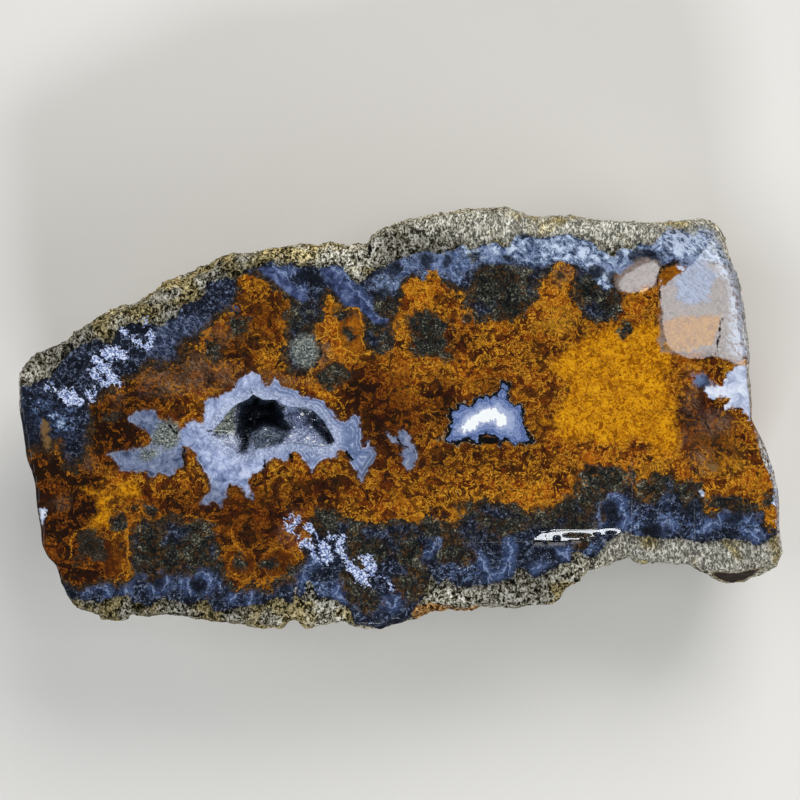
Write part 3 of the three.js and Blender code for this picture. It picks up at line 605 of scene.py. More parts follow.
# What each field of the pattern measures the depth inside.
OUTLINE_FIELDS = {
    "moss": [MOSS],
    "plates": PLATES,
    "ochre": [OCHRE, OCHRE_ARM],
    "ring": [RING, SPUR],
    "rim": [HOLLOW_RIM],
    "hole": [DEEP_HOLE],
    "lobe": [DARK_LOBE],
    "slope": [DUSKY_SLOPE],
    "left_druse": [LEFT_DRUSE],
    "lump": [GREY_LUMP],
    "amber": [AMBER],
    "grey_cloud_and_painted_reflection": [GREY_CLOUD_AND_PAINTED_REFLECTION, SMALL_CLOUD_AND_PAINTED_REFLECTION],
    "ledge": [LEDGE],
    "blue_cloud_and_painted_reflection": [BLUE_CLOUD_AND_PAINTED_REFLECTION],
    "tan_cloud_and_painted_reflection": [TAN_CLOUD_AND_PAINTED_REFLECTION],
    "sand": SAND,
    "tongue": [TONGUE],
    "drop": [DROP_WITH_PAINTED_SHADE],
    "patch": WINDOW_PATCHES,
    "pocket": [POCKET],
    "heart": [POCKET_HEART],
    "pale": PALE_CHIPS_AND_PAINTED_GLINTS,
    "frost_and_painted_reflection": [FROST_AND_PAINTED_REFLECTION],
    "band": [TOP_BAND],
    "plume": PLUMES,
    "striped": [STRIPED_CORNER],
}
OVAL_FIELDS = {
    "edge": CRUSTY_EDGES,
    "painted_glint": PAINTED_GLINTS,
    "calm": CALM_MOSS,
    "olive": OLIVE_MOSS,
    "plum": PLUM_MOSS,
    "lined": LINED_RING,
    "pits": DARK_PITS,
    "dim_band": DIM_BAND,
    "soft_rock": SOFT_ROCK,
    "murk": MURK,
    "haze": HAZE,
    "bright": BRIGHT_MOSS,
    "dusky": DUSKY_MOSS,
    "tan": TAN_MOSS,
    "druse": DRUSE_SPOTS,
    "pale_rock": PALE_ROCK,
    "dim_rock": DIM_ROCK,
    "yellow_rock": YELLOW_ROCK,
}
THREAD_FIELDS = {"crack": CRACKS, "thread": FILIGREE, "gold": GOLD_EDGES, "seam": SEAMS}
PINCHED = ("ring", "pocket", "heart", "pale", "frost_and_painted_reflection", "plume", "druse", "flecks_and_painted_glints")

# Tones of each part: levels of its grain from dark to light, each with a colour from 0 to 255. A level
# without a colour has the main colour from the settings. Lines have a depth, a width and a colour.
MOSS_GROUND = ((0.34, (46, 21, 7)), (0.44, (70, 33, 6)), (0.53, (90, 45, 6)), (0.64, (118, 63, 7)))
MOSS_PLATE = ((0.36, (76, 34, 4)), (0.47, None), (0.56, (121, 62, 5)), (0.68, (154, 88, 8)))
PLUM_TONES = ((0.4, (44, 26, 24)), (0.55, (90, 60, 54)), (0.66, (132, 100, 90)))
TAN_TONES = ((0.34, (52, 34, 22)), (0.5, (104, 74, 52)), (0.68, (166, 138, 112)))
OCHRE_TONES = ((0.36, (112, 62, 2)), (0.45, (160, 96, 2)), (0.53, None), (0.66, (224, 162, 18)))
CHALCEDONY_TONES = (
    (0.0, None), (0.14, (27, 33, 49)), (0.36, (50, 66, 98)), (0.62, (106, 126, 160)),
    (0.95, (196, 210, 232)),
)
STRIPE_TONES = ((0.36, (12, 15, 24)), (0.5, (36, 45, 68)), (0.68, (104, 116, 146)))
PLUME_TONES = ((0.35, (30, 38, 64)), (0.5, (58, 70, 108)), (0.66, (112, 126, 166)))
MURK_TONES = ((0.42, (11, 13, 15)), (0.50, (32, 34, 33)), (0.57, (66, 66, 56)), (0.66, (150, 148, 128)))
RUST_TONES = ((0.40, (18, 12, 9)), (0.54, (54, 36, 18)), (0.66, (98, 68, 32)))
BROWN_TONES = ((0.4, (20, 16, 11)), (0.6, (58, 40, 24)))
RING_TONES = ((0.34, (76, 90, 122)), (0.45, (122, 137, 176)), (0.56, None), (0.68, (196, 206, 232)))
MILKY_TONES = ((0.36, (146, 158, 196)), (0.6, (200, 208, 238)))
RIM_TONES = ((0.36, (112, 124, 150)), (0.5, (154, 167, 196)), (0.64, (204, 212, 232)))
DRUSE_TONES = (
    (0.36, (34, 42, 44)), (0.48, (92, 100, 102)), (0.60, (140, 144, 132)), (0.74, (216, 218, 210)),
)
POCKET_TONES = (
    (0.0, (26, 34, 54)), (0.07, (70, 88, 132)), (0.20, (90, 110, 162)), (0.36, (118, 136, 182)),
    (0.60, (160, 174, 208)),
)
SHELL_TONES = ((0.36, (130, 142, 174)), (0.6, (196, 204, 230)))
RIND_TONES = (
    (0.42, (12, 12, 10)), (0.46, (66, 63, 50)), (0.50, (140, 136, 116)), (0.54, None),
    (0.61, (248, 246, 238)),
)
SKIN_TONES = ((0.36, (212, 204, 190)), (0.46, (230, 226, 216)), (0.58, (242, 240, 234)))
GREY_CLOUD_AND_REFLECTION_TONES = ((0.38, (108, 96, 92)), (0.62, (142, 128, 122)))
BLUE_CLOUD_AND_REFLECTION_TONES = ((0.36, (82, 92, 118)), (0.6, (132, 146, 178)))
TAN_CLOUD_AND_REFLECTION_TONES = ((0.38, (140, 92, 30)), (0.62, (176, 124, 40)))
TONGUE_TONES = ((0.36, (46, 62, 88)), (0.6, (104, 122, 156)))
AMBER_TONES = ((0.36, (96, 50, 6)), (0.6, (150, 92, 16)))
PALE_TONES = ((0.36, (150, 160, 188)), (0.5, (190, 200, 224)), (0.66, (224, 230, 244)))
CRUST_TONES = ((0.42, (70, 52, 36)), (0.5, (160, 148, 134)), (0.58, (236, 236, 232)))
FLECK_AND_GLINT_TONES = ((0.40, (66, 84, 136)), (0.5, (158, 174, 216)), (0.60, (226, 234, 252)))
LEDGE_TONES = ((0.40, (46, 26, 12)), (0.5, (142, 94, 44)), (0.62, (214, 172, 112)))
QUARTZ_TONES = ((0.38, (96, 108, 134)), (0.46, None), (0.55, (186, 197, 224)), (0.64, (240, 243, 252)))
RING_LINES = (
    (0.45, 0.20, (92, 112, 158)),
    (0.85, 0.12, (188, 198, 224)),
    (1.25, 0.16, (96, 108, 140)),
    (1.70, 0.12, (196, 204, 226)),
    (2.15, 0.14, (100, 112, 144)),
)
POCKET_LINES = (
    (0.45, 0.10, (150, 168, 210)),
    (0.80, 0.10, (68, 84, 130)),
    (1.15, 0.10, (168, 184, 220)),
    (1.60, 0.12, (84, 98, 136)),
)
# The tones of each part of the hollow. Each part covers the ones before it. The dark tones of the lobe and
# the deep hole are painted shade, on top of the real shade of their depth.
HOLLOW_TONES_AND_PAINTED_SHADE = {
    "left_druse": (
        (0.40, (34, 42, 42)), (0.47, (96, 104, 100)), (0.55, (160, 165, 154)), (0.64, (236, 236, 224)),
    ),
    "slope": (
        (0.38, (36, 42, 60)), (0.47, (88, 99, 130)), (0.56, (140, 152, 188)), (0.66, (216, 224, 240)),
    ),
    "lump": (
        (0.38, (24, 30, 40)), (0.47, (54, 64, 80)), (0.58, (98, 110, 128)), (0.68, (160, 170, 186)),
    ),
    "lobe": (
        (0.38, (20, 24, 34)), (0.50, (44, 52, 68)), (0.60, (78, 88, 108)), (0.70, (130, 142, 162)),
    ),
    "hole": (
        (0.38, (22, 26, 34)), (0.50, (44, 52, 66)), (0.60, (80, 92, 110)), (0.70, (140, 152, 172)),
    ),
}

# Single colours from 0 to 255.
PLATE_EDGE = (224, 160, 42)
DUSKY_EDGE = (146, 82, 14)
MOSS_PIT = (24, 16, 12)
GOLD_THREAD = (200, 132, 30)
OCHRE_WORM = (112, 60, 2)
OCHRE_SHADOW = (150, 84, 4)
OCHRE_EDGE = (232, 176, 40)
BLUE_SPARK = (214, 222, 238)
BLUE_WISP = (206, 218, 240)
BAND_GAP = (26, 33, 50)
BLUE_ARC = (142, 158, 192)
THREAD_HALO = (66, 84, 126)
BLUE_THREAD = (146, 164, 202)
BLUE_PIT = (10, 13, 20)
LINED_TINT = (88, 107, 148)
RING_EDGE = (204, 210, 230)
RING_SHADOW = (60, 32, 20)
HEART_WHITE = (246, 251, 252)
POCKET_SHADOW = (40, 24, 14)
POCKET_BLACK = (8, 10, 14)
POCKET_THREAD = (158, 138, 110)
SOFT_ROCK_TINT = (166, 165, 158)
YELLOW_STAIN = (248, 232, 184)
SAND_TINT = (118, 90, 54)
CELL_EDGE = (176, 108, 18)
SEAM_TINT = (118, 122, 128)
FROST_AND_REFLECTION_TINT = (186, 197, 218)
DROP_PAINTED_SHADE = (58, 50, 44)
DROP_EDGE = (168, 148, 118)
CRACK_BLACK = (12, 9, 8)
HOLLOW_CRACK = (10, 12, 10)
HOLLOW_THREAD = (232, 236, 228)
PAINTED_GLINT_WHITE = (250, 251, 250)

# How the moss is tinted where it is red, yellow, olive or light, and how much brighter, dusky and calm
# patches change its tone, its relief and its level.
RED_SHIFT = (1.08, 0.84, 0.9)
YELLOW_SHIFT = (0.96, 1.12, 1.0)
OLIVE_SHIFT = (1.02, 1.42, 2.6)
LIGHT_SHIFT = (1.7, 1.95, 1.7)
TONE_SWAY = (0.07, -0.08, -0.09)
RELIEF_SWAY = (0.05, -0.03, -0.02)
LEVEL_SWAY = (0.26, -0.30, -0.26)

# Numbers that scatter: for places in a lattice, and to move noise by its seed.
LATTICE_WAVE = np.array([127.1, 311.7, 74.7])
SEED_WAVE = 17.3
WAVE_GAIN = 43758.5453
SEED_STEP = (37.7, -19.3, 11.9)
GRAIN_SLANT = math.radians(38)
LINE_CORE = 0.35
HALF_GREY = (0.5, 0.5, 0.5)

# The sockets of a mix node that hold its two colours, and the one that gives the mixed colour.
FIRST_COLOR, SECOND_COLOR, MIXED_COLOR = 6, 7, 2
TINY = 1e-9
FAR = 1e9


def in_frame(x, y):
    """A pixel of the photograph as a place on the face, in mm of the frame."""
    return (
        (x - MIDDLE_PIXEL[0]) * MM_PER_PIXEL + MIDDLE_SHIFT[0],
        (MIDDLE_PIXEL[1] - y) * MM_PER_PIXEL + MIDDLE_SHIFT[1],
    )


def linear(red, green, blue):
    """A colour from 0 to 255, as the eye reads it, as linear light by the sRGB curve."""
    shares = (channel / 255 for channel in (red, green, blue))
    return tuple(s / 12.92 if s <= 0.04045 else ((s + 0.055) / 1.055) ** 2.4 for s in shares)


class AgateSettings(bpy.types.PropertyGroup):
    """Sizes and colours of the block."""

    mesh_step: FloatProperty(
        name="Mesh step", description="Distance between the points of the block's mesh",
        default=0.55 * MM, min=0.4 * MM, unit="LENGTH",
    )
    triangles: IntProperty(
        name="Triangles", description="Most triangles in the block's mesh", default=195000, min=10000,
    )
    grain_height: FloatProperty(
        name="Grain height", description="How far the rind's grains stand out",
        default=0.38 * MM, min=0, unit="LENGTH",
    )
    moss: FloatVectorProperty(
        name="Moss", description="Main colour of the rusty moss",
        default=linear(103, 50, 5), size=3, subtype="COLOR",
    )
    ochre: FloatVectorProperty(
        name="Ochre", description="Colour of the solid yellow patch",
        default=linear(205, 135, 4), size=3, subtype="COLOR",
    )
    chalcedony: FloatVectorProperty(
        name="Chalcedony", description="Colour of the clear dark chalcedony",
        default=linear(13, 16, 25), size=3, subtype="COLOR",
    )
    lavender: FloatVectorProperty(
        name="Lavender", description="Colour of the banded ring round the hollow",
        default=linear(158, 172, 208), size=3, subtype="COLOR",
    )
    rind: FloatVectorProperty(
        name="Rind", description="Colour of the host rock's grains",
        default=linear(196, 193, 178), size=3, subtype="COLOR",
    )


class CrystalSettings(bpy.types.PropertyGroup):
    """Sizes and colour of the crystals in the hollow."""

    count: IntProperty(name="Count", description="Small crystals on the crust", default=2600, min=0)
    sheet_step: FloatProperty(
        name="Sheet step", description="Distance between the points of the crust's surface",
        default=0.2 * MM, min=0.1 * MM, unit="LENGTH",
    )
    width: FloatProperty(
        name="Width", description="Width of a middling small crystal",
        default=0.34 * MM, min=0.1 * MM, unit="LENGTH",
    )
    tint: FloatVectorProperty(
        name="Tint", description="Colour of the milky slopes",
        default=linear(136, 149, 184), size=3, subtype="COLOR",
    )


class StageSettings(bpy.types.PropertyGroup):
    """The floor, the lights and the camera."""

    floor: FloatVectorProperty(
        name="Floor", description="Colour of the floor",
        default=linear(232, 230, 226), size=3, subtype="COLOR",
    )
    camera_height: FloatProperty(
        name="Camera height", description="Height of the camera over the sawn face",
        default=0.9, min=0.2, unit="LENGTH",
    )


# Numbers for each point of a mesh.


def lattice(cells, seed):
    """A repeatable number from 0 to 1 for each whole-number place."""
    wave = np.sin(cells @ LATTICE_WAVE + seed * SEED_WAVE) * WAVE_GAIN
    return wave - np.floor(wave)


def lumps(points, every, seed):
    """Smooth lumps from -1 to 1, about a distance apart."""
    scaled = points / every
    low = np.floor(scaled)
    ease = (scaled - low) ** 2 * (3 - 2 * (scaled - low))
    total = np.zeros(len(points))
    for corner in np.ndindex(2, 2, 2):
        share = np.prod(np.where(corner, ease, 1 - ease), axis=1)
        total += share * lattice(low + corner, seed)
    return 2 * total - 1


def rough_lumps(points, every, seed, octaves=4):
    """Lumps with finer lumps on them."""
    return sum(lumps(points, every / 2**n, seed + n) / 2**n for n in range(octaves))


def segment_distance(points, start, end):
    """Distance of each point from a straight line between two points."""
    along = end - start
    share = np.clip((points - start) @ along / max(along @ along, TINY), 0, 1)
    return np.linalg.norm(points - start - share[:, None] * along, axis=1)


def outline_depth(points, outline):
    """How deep each point lies inside an outline, in mm: below zero outside."""
    corners = np.array([in_frame(x, y) for x, y in outline])
    nearest = np.full(len(points), FAR)
    inside = np.zeros(len(points), bool)
    for start, end in zip(corners, np.roll(corners, -1, axis=0)):
        nearest = np.minimum(nearest, segment_distance(points, start, end))
        spans = (start[1] > points[:, 1]) != (end[1] > points[:, 1])
        rise = end[1] - start[1] if end[1] != start[1] else TINY
        crossing = start[0] + (points[:, 1] - start[1]) * (end[0] - start[0]) / rise
        inside ^= spans & (points[:, 0] < crossing)
    return np.where(inside, nearest, -nearest)


def oval_depth(points, oval):
    """How deep each point lies inside an oval, in mm, roughly."""
    x, y, half_width, half_height = oval
    middle = np.array(in_frame(x, y))
    reach = np.array([half_width, half_height]) * MM_PER_PIXEL
    return (1 - np.linalg.norm((points - middle) / reach, axis=1)) * reach.min()


def stroke_depth(points, stroke):
    """How deep each point lies inside a stroke, in mm."""
    corners = np.array([in_frame(x, y) for x, y in stroke[1:]])
    nearest = np.full(len(points), FAR)
    for start, end in zip(corners, corners[1:]):
        nearest = np.minimum(nearest, segment_distance(points, start, end))
    return stroke[0] * MM_PER_PIXEL - nearest


def deepest(points, depth_of, shapes):
    """The depth inside whichever shape holds each point best."""
    return np.max([depth_of(points, shape) for shape in shapes], axis=0)


def nearest_thread(points, strokes):
    """Distance from the nearest thread, and the depth inside its width.

    The distance is below zero on one side of the thread. It changes evenly from one side to the
    other, so that a thin line stays thin between the mesh's points.
    """
    away = np.full(len(points), FAR)
    across = np.zeros(len(points))
    depth = np.full(len(points), -FAR)
    for stroke in strokes:
        corners = np.array([in_frame(x, y) for x, y in stroke[1:]])
        for start, end in zip(corners, corners[1:]):
            gap = segment_distance(points, start, end)
            along = end - start
            side = along[0] * (points[:, 1] - start[1]) - along[1] * (points[:, 0] - start[0])
            closer = gap < away
            across = np.where(closer, np.sign(side) * gap, across)
            away = np.minimum(away, gap)
            depth = np.maximum(depth, stroke[0] * MM_PER_PIXEL - gap)
    return across, depth


def pattern_fields(points):
    """The depth of each point, in mm, inside every part of the stone's pattern.

    Below the face the pattern drifts and the ring, the pocket and the flecks pinch out, as they do in a
    real vein.
    """
    height = points[:, 2]
    below = np.clip(FACE_HEIGHT - height, 0, None)
    drift = np.stack([lumps(points, DRIFT_EVERY, seed) for seed in DRIFT_SEEDS], axis=1)
    flat = points[:, :2] + drift * np.minimum(below * DRIFT_SLOPE, DRIFT_MOST)[:, None]
    pinch = below * PINCH
    fields = {name: deepest(flat, outline_depth, shapes) for name, shapes in OUTLINE_FIELDS.items()}
    fields |= {name: deepest(flat, oval_depth, shapes) for name, shapes in OVAL_FIELDS.items()}
    fields["flecks_and_painted_glints"] = deepest(flat, stroke_depth, WHITE_FLECKS_AND_PAINTED_GLINTS)
    for name in PINCHED:
        fields[name] = fields[name] - pinch
    for name, strokes in THREAD_FIELDS.items():
        fields[name + "_across"], depth = nearest_thread(flat, strokes)
        fields[name] = depth - pinch * 0.5
    on_side = (height > BACK_EDGE) & (np.abs(points[:, 0]) < SIDE_REACH)
    skin = np.where(on_side, (below - SKIN_START + 2 * lumps(points, 4, 8)) * 0.4, NOWHERE)
    fields["rind"] = np.maximum(-outline_depth(flat, INSIDE_RIND), skin)
    fields["ledge"] = np.minimum(fields["ledge"], (height - LEDGE_FOOT + lumps(points, 3, 9)) * 0.5)
    fields["drop"] = np.minimum(fields["drop"], (height - DROP_FOOT) * 0.5)
    fields["top"] = ramp_up(height, *CRUMBLED_HEIGHTS)
    fields["below"] = below
    return fields


def mesh_points(mesh):
    """The points of a mesh, in mm."""
    flat = np.empty(len(mesh.vertices) * 3)
    mesh.vertices.foreach_get("co", flat)
    return flat.reshape(-1, 3) / MM


def set_points(mesh, points):
    """Moves the points of a mesh to places in mm."""
    mesh.vertices.foreach_set("co", (points * MM).ravel())
    mesh.update()


def mesh_normals(mesh):
    """The outward direction at each point of a mesh."""
    flat = np.empty(len(mesh.vertices) * 3)
    mesh.vertex_normals.foreach_get("vector", flat)
    return flat.reshape(-1, 3)


def smoothed(mesh, points, amount, rounds):
    """Points drawn towards the middle of their neighbours, each by its own amount."""
    edges = np.empty(len(mesh.edges) * 2, int)
    mesh.edges.foreach_get("vertices", edges)
    first, second = edges.reshape(-1, 2).T
    count = np.bincount(edges, minlength=len(points))[:, None]
    for _ in range(rounds):
        total = np.zeros_like(points)
        np.add.at(total, first, points[second])
        np.add.at(total, second, points[first])
        points = points + (total / count - points) * amount[:, None]
    return points


def store(mesh, fields):
    """Keeps one number for each point under each name, for the material to read."""
    for name, values in fields.items():
        attribute = mesh.attributes.new(name, "FLOAT", "POINT")
        attribute.data.foreach_set("value", values.astype(np.float32))


def ramp_up(values, low, high):
    """0 below low, 1 above high, smooth between."""
    share = np.clip((values - low) / (high - low), 0, 1)
    return share * share * (3 - 2 * share)


# Shader nodes.


class Paint:
    """Adds the nodes of one material and joins them."""

    def __init__(self, name):
        self.material = bpy.data.materials.new(name)
        self.material.use_nodes = True
        self.nodes = self.material.node_tree.nodes
        self.links = self.material.node_tree.links
        self.nodes.clear()
        coordinates = self.nodes.new("ShaderNodeTexCoord").outputs["Object"]
        self.place = self.vector("SCALE", coordinates, scale=1 / MM)
        self.slant = self.turned(GRAIN_SLANT)

    def feed(self, socket, value):
        """Joins a socket to another, or sets its own value."""
        if isinstance(value, bpy.types.NodeSocket):
            self.links.new(value, socket)
        elif hasattr(value, "__len__"):
            values = tuple(value)
            lacks_alpha = len(socket.default_value) == 4 and len(values) == 3
            socket.default_value = values + (1,) if lacks_alpha else values
        else:
            socket.default_value = value

    def turned(self, angle):
        """The places turned about the upright line, for grain that runs aslant."""
        node = self.nodes.new("ShaderNodeVectorRotate")
        node.rotation_type = "Z_AXIS"
        self.feed(node.inputs["Vector"], self.place)
        self.feed(node.inputs["Angle"], angle)
        return node.outputs["Vector"]

    def math(self, operation, first, second=0.0):
        node = self.nodes.new("ShaderNodeMath")
        node.operation = operation
        self.feed(node.inputs[0], first)
        self.feed(node.inputs[1], second)
        return node.outputs[0]

    def vector(self, operation, first, second=None, third=None, scale=None):
        node = self.nodes.new("ShaderNodeVectorMath")
        node.operation = operation
        self.feed(node.inputs[0], first)
        if second is not None:
            self.feed(node.inputs[1], second)
        if third is not None:
            self.feed(node.inputs[2], third)
        if scale is not None:
            self.feed(node.inputs["Scale"], scale)
        return node.outputs["Vector"]

    def field(self, name):
        """One of the numbers that the mesh holds for each point."""
        node = self.nodes.new("ShaderNodeAttribute")
        node.attribute_name = name
        return node.outputs["Fac"]

    def noise(self, size, detail=4.0, rough=0.6, twist=0.0, stretch=(1, 1, 1), seed=0, slanted=False):
        """Cloudy noise about 0.5 whose lumps are a size in mm."""
        place = self.slant if slanted else self.place
        place = self.vector("MULTIPLY_ADD", place, stretch, tuple(seed * step for step in SEED_STEP))
        node = self.nodes.new("ShaderNodeTexNoise")
        self.feed(node.inputs["Vector"], place)
        self.feed(node.inputs["Scale"], 1 / size)
        self.feed(node.inputs["Detail"], detail)
        self.feed(node.inputs["Roughness"], rough)
        self.feed(node.inputs["Distortion"], twist)
        return node.outputs["Fac"]

    def cells(self, size, warp, warp_by):
        """Distance from the nearest of scattered spots, which are a size in mm apart, in bent places."""
        place = self.vector("ADD", self.place, self.vector("SCALE", warp, scale=warp_by))
        node = self.nodes.new("ShaderNodeTexVoronoi")
        node.feature = "F1"
        self.feed(node.inputs["Vector"], place)
        self.feed(node.inputs["Scale"], 1 / size)
        return node.outputs["Distance"]

    def warp(self, size, detail):
        """A direction that changes from place to place, about zero."""
        node = self.nodes.new("ShaderNodeTexNoise")
        self.feed(node.inputs["Vector"], self.place)
        self.feed(node.inputs["Scale"], 1 / size)
        self.feed(node.inputs["Detail"], detail)
        return self.vector("SUBTRACT", node.outputs["Color"], HALF_GREY)

    def rise(self, value, low, high, bottom=0.0, top=1.0):
        """Bottom below low, top above high, smooth between. With low over high it falls."""
        node = self.nodes.new("ShaderNodeMapRange")
        node.interpolation_type = "SMOOTHSTEP"
        falling = low > high
        self.feed(node.inputs["Value"], value)
        self.feed(node.inputs["From Min"], min(low, high))
        self.feed(node.inputs["From Max"], max(low, high))
        self.feed(node.inputs["To Min"], top if falling else bottom)
        self.feed(node.inputs["To Max"], bottom if falling else top)
        return node.outputs["Result"]

    def line(self, value, at, width):
        """1 where a value is close to a level, falling to 0 a width away on both sides."""
        away = self.math("ABSOLUTE", self.math("SUBTRACT", value, at))
        return self.rise(away, width, width * LINE_CORE)

    def plus(self, first, second, amount):
        """first + second * amount."""
        node = self.nodes.new("ShaderNodeMath")
        node.operation = "MULTIPLY_ADD"
        self.feed(node.inputs[0], second)
        self.feed(node.inputs[1], amount)
        self.feed(node.inputs[2], first)
        return node.outputs[0]

    def times(self, *factors):
        """The product of numbers."""
        product = factors[0]
        for factor in factors[1:]:
            product = self.math("MULTIPLY", product, factor)
        return product

    def either(self, *shares):
        """The highest of several numbers."""
        highest = shares[0]
        for share in shares[1:]:
            highest = self.math("MAXIMUM", highest, share)
        return highest

    def mix(self, share, first, second):
        """Two colours mixed by a share."""
        node = self.nodes.new("ShaderNodeMix")
        node.data_type = "RGBA"
        self.feed(node.inputs["Factor"], share)
        self.feed(node.inputs[FIRST_COLOR], first)
        self.feed(node.inputs[SECOND_COLOR], second)
        return node.outputs[MIXED_COLOR]

    def lay(self, color, cover, *shares):
        """A colour covered by another, as far as the product of the shares says."""
        if isinstance(cover, tuple):
            cover = linear(*cover)
        return self.mix(self.times(*shares), color, cover)

    def shade(self, color, factor):
        """A colour made darker or lighter by a factor."""
        return self.vector("SCALE", color, scale=factor)

    def tones(self, value, steps, main=None):
        """A colour for each level of a value. A step without a colour has the main one."""
        node = self.nodes.new("ShaderNodeValToRGB")
        self.feed(node.inputs["Fac"], value)
        elements = node.color_ramp.elements
        while len(elements) < len(steps):
            elements.new(0.5)
        for element, (level, color) in zip(elements, steps):
            element.position = level
            element.color = (*(linear(*color) if color else main), 1)
        return node.outputs["Color"]

    def bump(self, height, distance, strength=1.0):
        """A surface direction from a height in 0 to 1, whose full rise is a distance in mm."""
        node = self.nodes.new("ShaderNodeBump")
        self.feed(node.inputs["Height"], height)
        self.feed(node.inputs["Distance"], distance * MM)
        self.feed(node.inputs["Strength"], strength)
        return node.outputs["Normal"]

    def finish(self, **inputs):
        """The surface itself."""
        shader = self.nodes.new("ShaderNodeBsdfPrincipled")
        for name, value in inputs.items():
            self.feed(shader.inputs[name.replace("_", " ")], value)
        output = self.nodes.new("ShaderNodeOutputMaterial")
        self.links.new(shader.outputs["BSDF"], output.inputs["Surface"])
        return self.material


class Grain:
    """The clouds, fibres and worms that all parts of the pattern share, and edges frayed with them."""

    def __init__(self, paint):
        self.paint = paint
        self.ragged = paint.math("SUBTRACT", paint.noise(3.0, 5, 0.62, 0.5, seed=1), 0.5)
        self.frilly = paint.math("SUBTRACT", paint.noise(0.8, 4, 0.65, 0.4, seed=2), 0.5)
        self.fine = paint.noise(0.42, 2, 0.65, 0.4, seed=3)
        self.cloud = paint.noise(2.2, 4, 0.66, 0.6, seed=4)
        self.broad = paint.noise(7.0, 2, 0.55, seed=5)
        self.fibres = paint.noise(0.9, 3, 0.7, 0.9, (0.7, 1.5, 1), seed=6, slanted=True)
        self.worms = paint.noise(1.1, 3, 0.55, 1.3, seed=7)
        self.plates = paint.noise(2.5, 4, 0.62, 1.1, seed=8)
        self.bend = paint.plus(paint.times(self.ragged, 0.5), paint.math("SUBTRACT", self.broad, 0.5), 0.9)
        spots = paint.cells(1.25, paint.warp(0.9, 2), 0.6)
        self.scallop = paint.math("SUBTRACT", 0.42, spots)

    def depth(self, name, ragged, frilly, scallop=0.0):
        """Depth inside a part whose edge is frayed and scalloped by so many mm."""
        rough = self.paint.plus(self.paint.field(name), self.bend if ragged > 4 else self.ragged, ragged)
        rough = self.paint.plus(rough, self.frilly, frilly)
        return self.paint.plus(rough, self.scallop, scallop) if scallop else rough

    def share(self, name, ragged, frilly, low=-0.1, high=0.12):
        """1 inside a part, 0 outside."""
        return self.paint.rise(self.depth(name, ragged, frilly), low, high)

    def loose(self, name, high=3):
        """1 inside a loose patch whose edge is bent and soft, 0 outside."""
        return self.paint.rise(self.paint.plus(self.paint.field(name), self.bend, 8), -1, high)

    def thread(self, name, wobble, width):
        """1 along thin threads, 0 elsewhere."""
        across = self.paint.plus(self.paint.field(name + "_across"), self.frilly, wobble)
        across = self.paint.plus(across, self.ragged, wobble)
        near = self.paint.rise(self.paint.field(name), -1.4, -0.9)
        return self.paint.times(self.paint.line(across, 0, width), near)


def moss_mood(paint):
    """How bright, dusky and calm the moss is from place to place."""
    bright = paint.rise(paint.field("bright"), -2.5, 4)
    dusky = paint.rise(paint.field("dusky"), -3, 6)
    calm = paint.rise(paint.field("calm"), -2, 3)
    return bright, dusky, calm


def swayed(paint, value, mood, amounts):
    """A value changed by an amount where the moss is bright, dusky or calm."""
    for share, amount in zip(mood, amounts):
        value = paint.plus(value, share, amount)
    return value


def moss_plates(paint, grain, settings, mood):
    """The moss's plates on a darker ground. Also the plates' own colour, their relief and their share."""
    tone = paint.plus(paint.times(grain.broad, 0.45), grain.cloud, 0.55)
    tone = swayed(paint, tone, mood, TONE_SWAY)
    plate = paint.tones(tone, MOSS_PLATE, settings.moss)
    relief = swayed(paint, grain.plates, mood, RELIEF_SWAY)
    raised = paint.rise(relief, 0.495, 0.512)
    return paint.mix(raised, paint.tones(tone, MOSS_GROUND), plate), plate, relief, raised


def moss_hues(paint, grain, color, mood):
    """Moss that drifts between red, yellow and olive, and from light to dark."""
    red = paint.vector("MULTIPLY", color, RED_SHIFT)
    yellow = paint.vector("MULTIPLY", color, YELLOW_SHIFT)
    color = paint.mix(paint.rise(grain.ragged, -0.12, 0.10), red, yellow)
    olive = paint.vector("MULTIPLY", color, OLIVE_SHIFT)
    color = paint.lay(color, olive, grain.loose("olive"))
    return paint.shade(color, swayed(paint, 1.0, mood, LEVEL_SWAY))


def moss_worms(paint, grain, color, raised, calm):
    """Moss with dark and light worm-like grain and fine specks."""
    lively = paint.plus(paint.plus(1.0, raised, -0.35), calm, -0.35)
    light = paint.vector("MULTIPLY", color, LIGHT_SHIFT)
    color = paint.lay(color, paint.shade(color, 0.25), paint.rise(grain.worms, 0.46, 0.41), lively, 0.62)
    color = paint.lay(color, light, paint.line(grain.worms, 0.535, 0.04), lively, 0.8)
    speck = paint.times(paint.rise(grain.fine, 0.36, 0.64, -0.34, 0.34), paint.plus(0.45, lively, 0.55))
    return paint.shade(color, paint.plus(1.0, speck, 1.0))


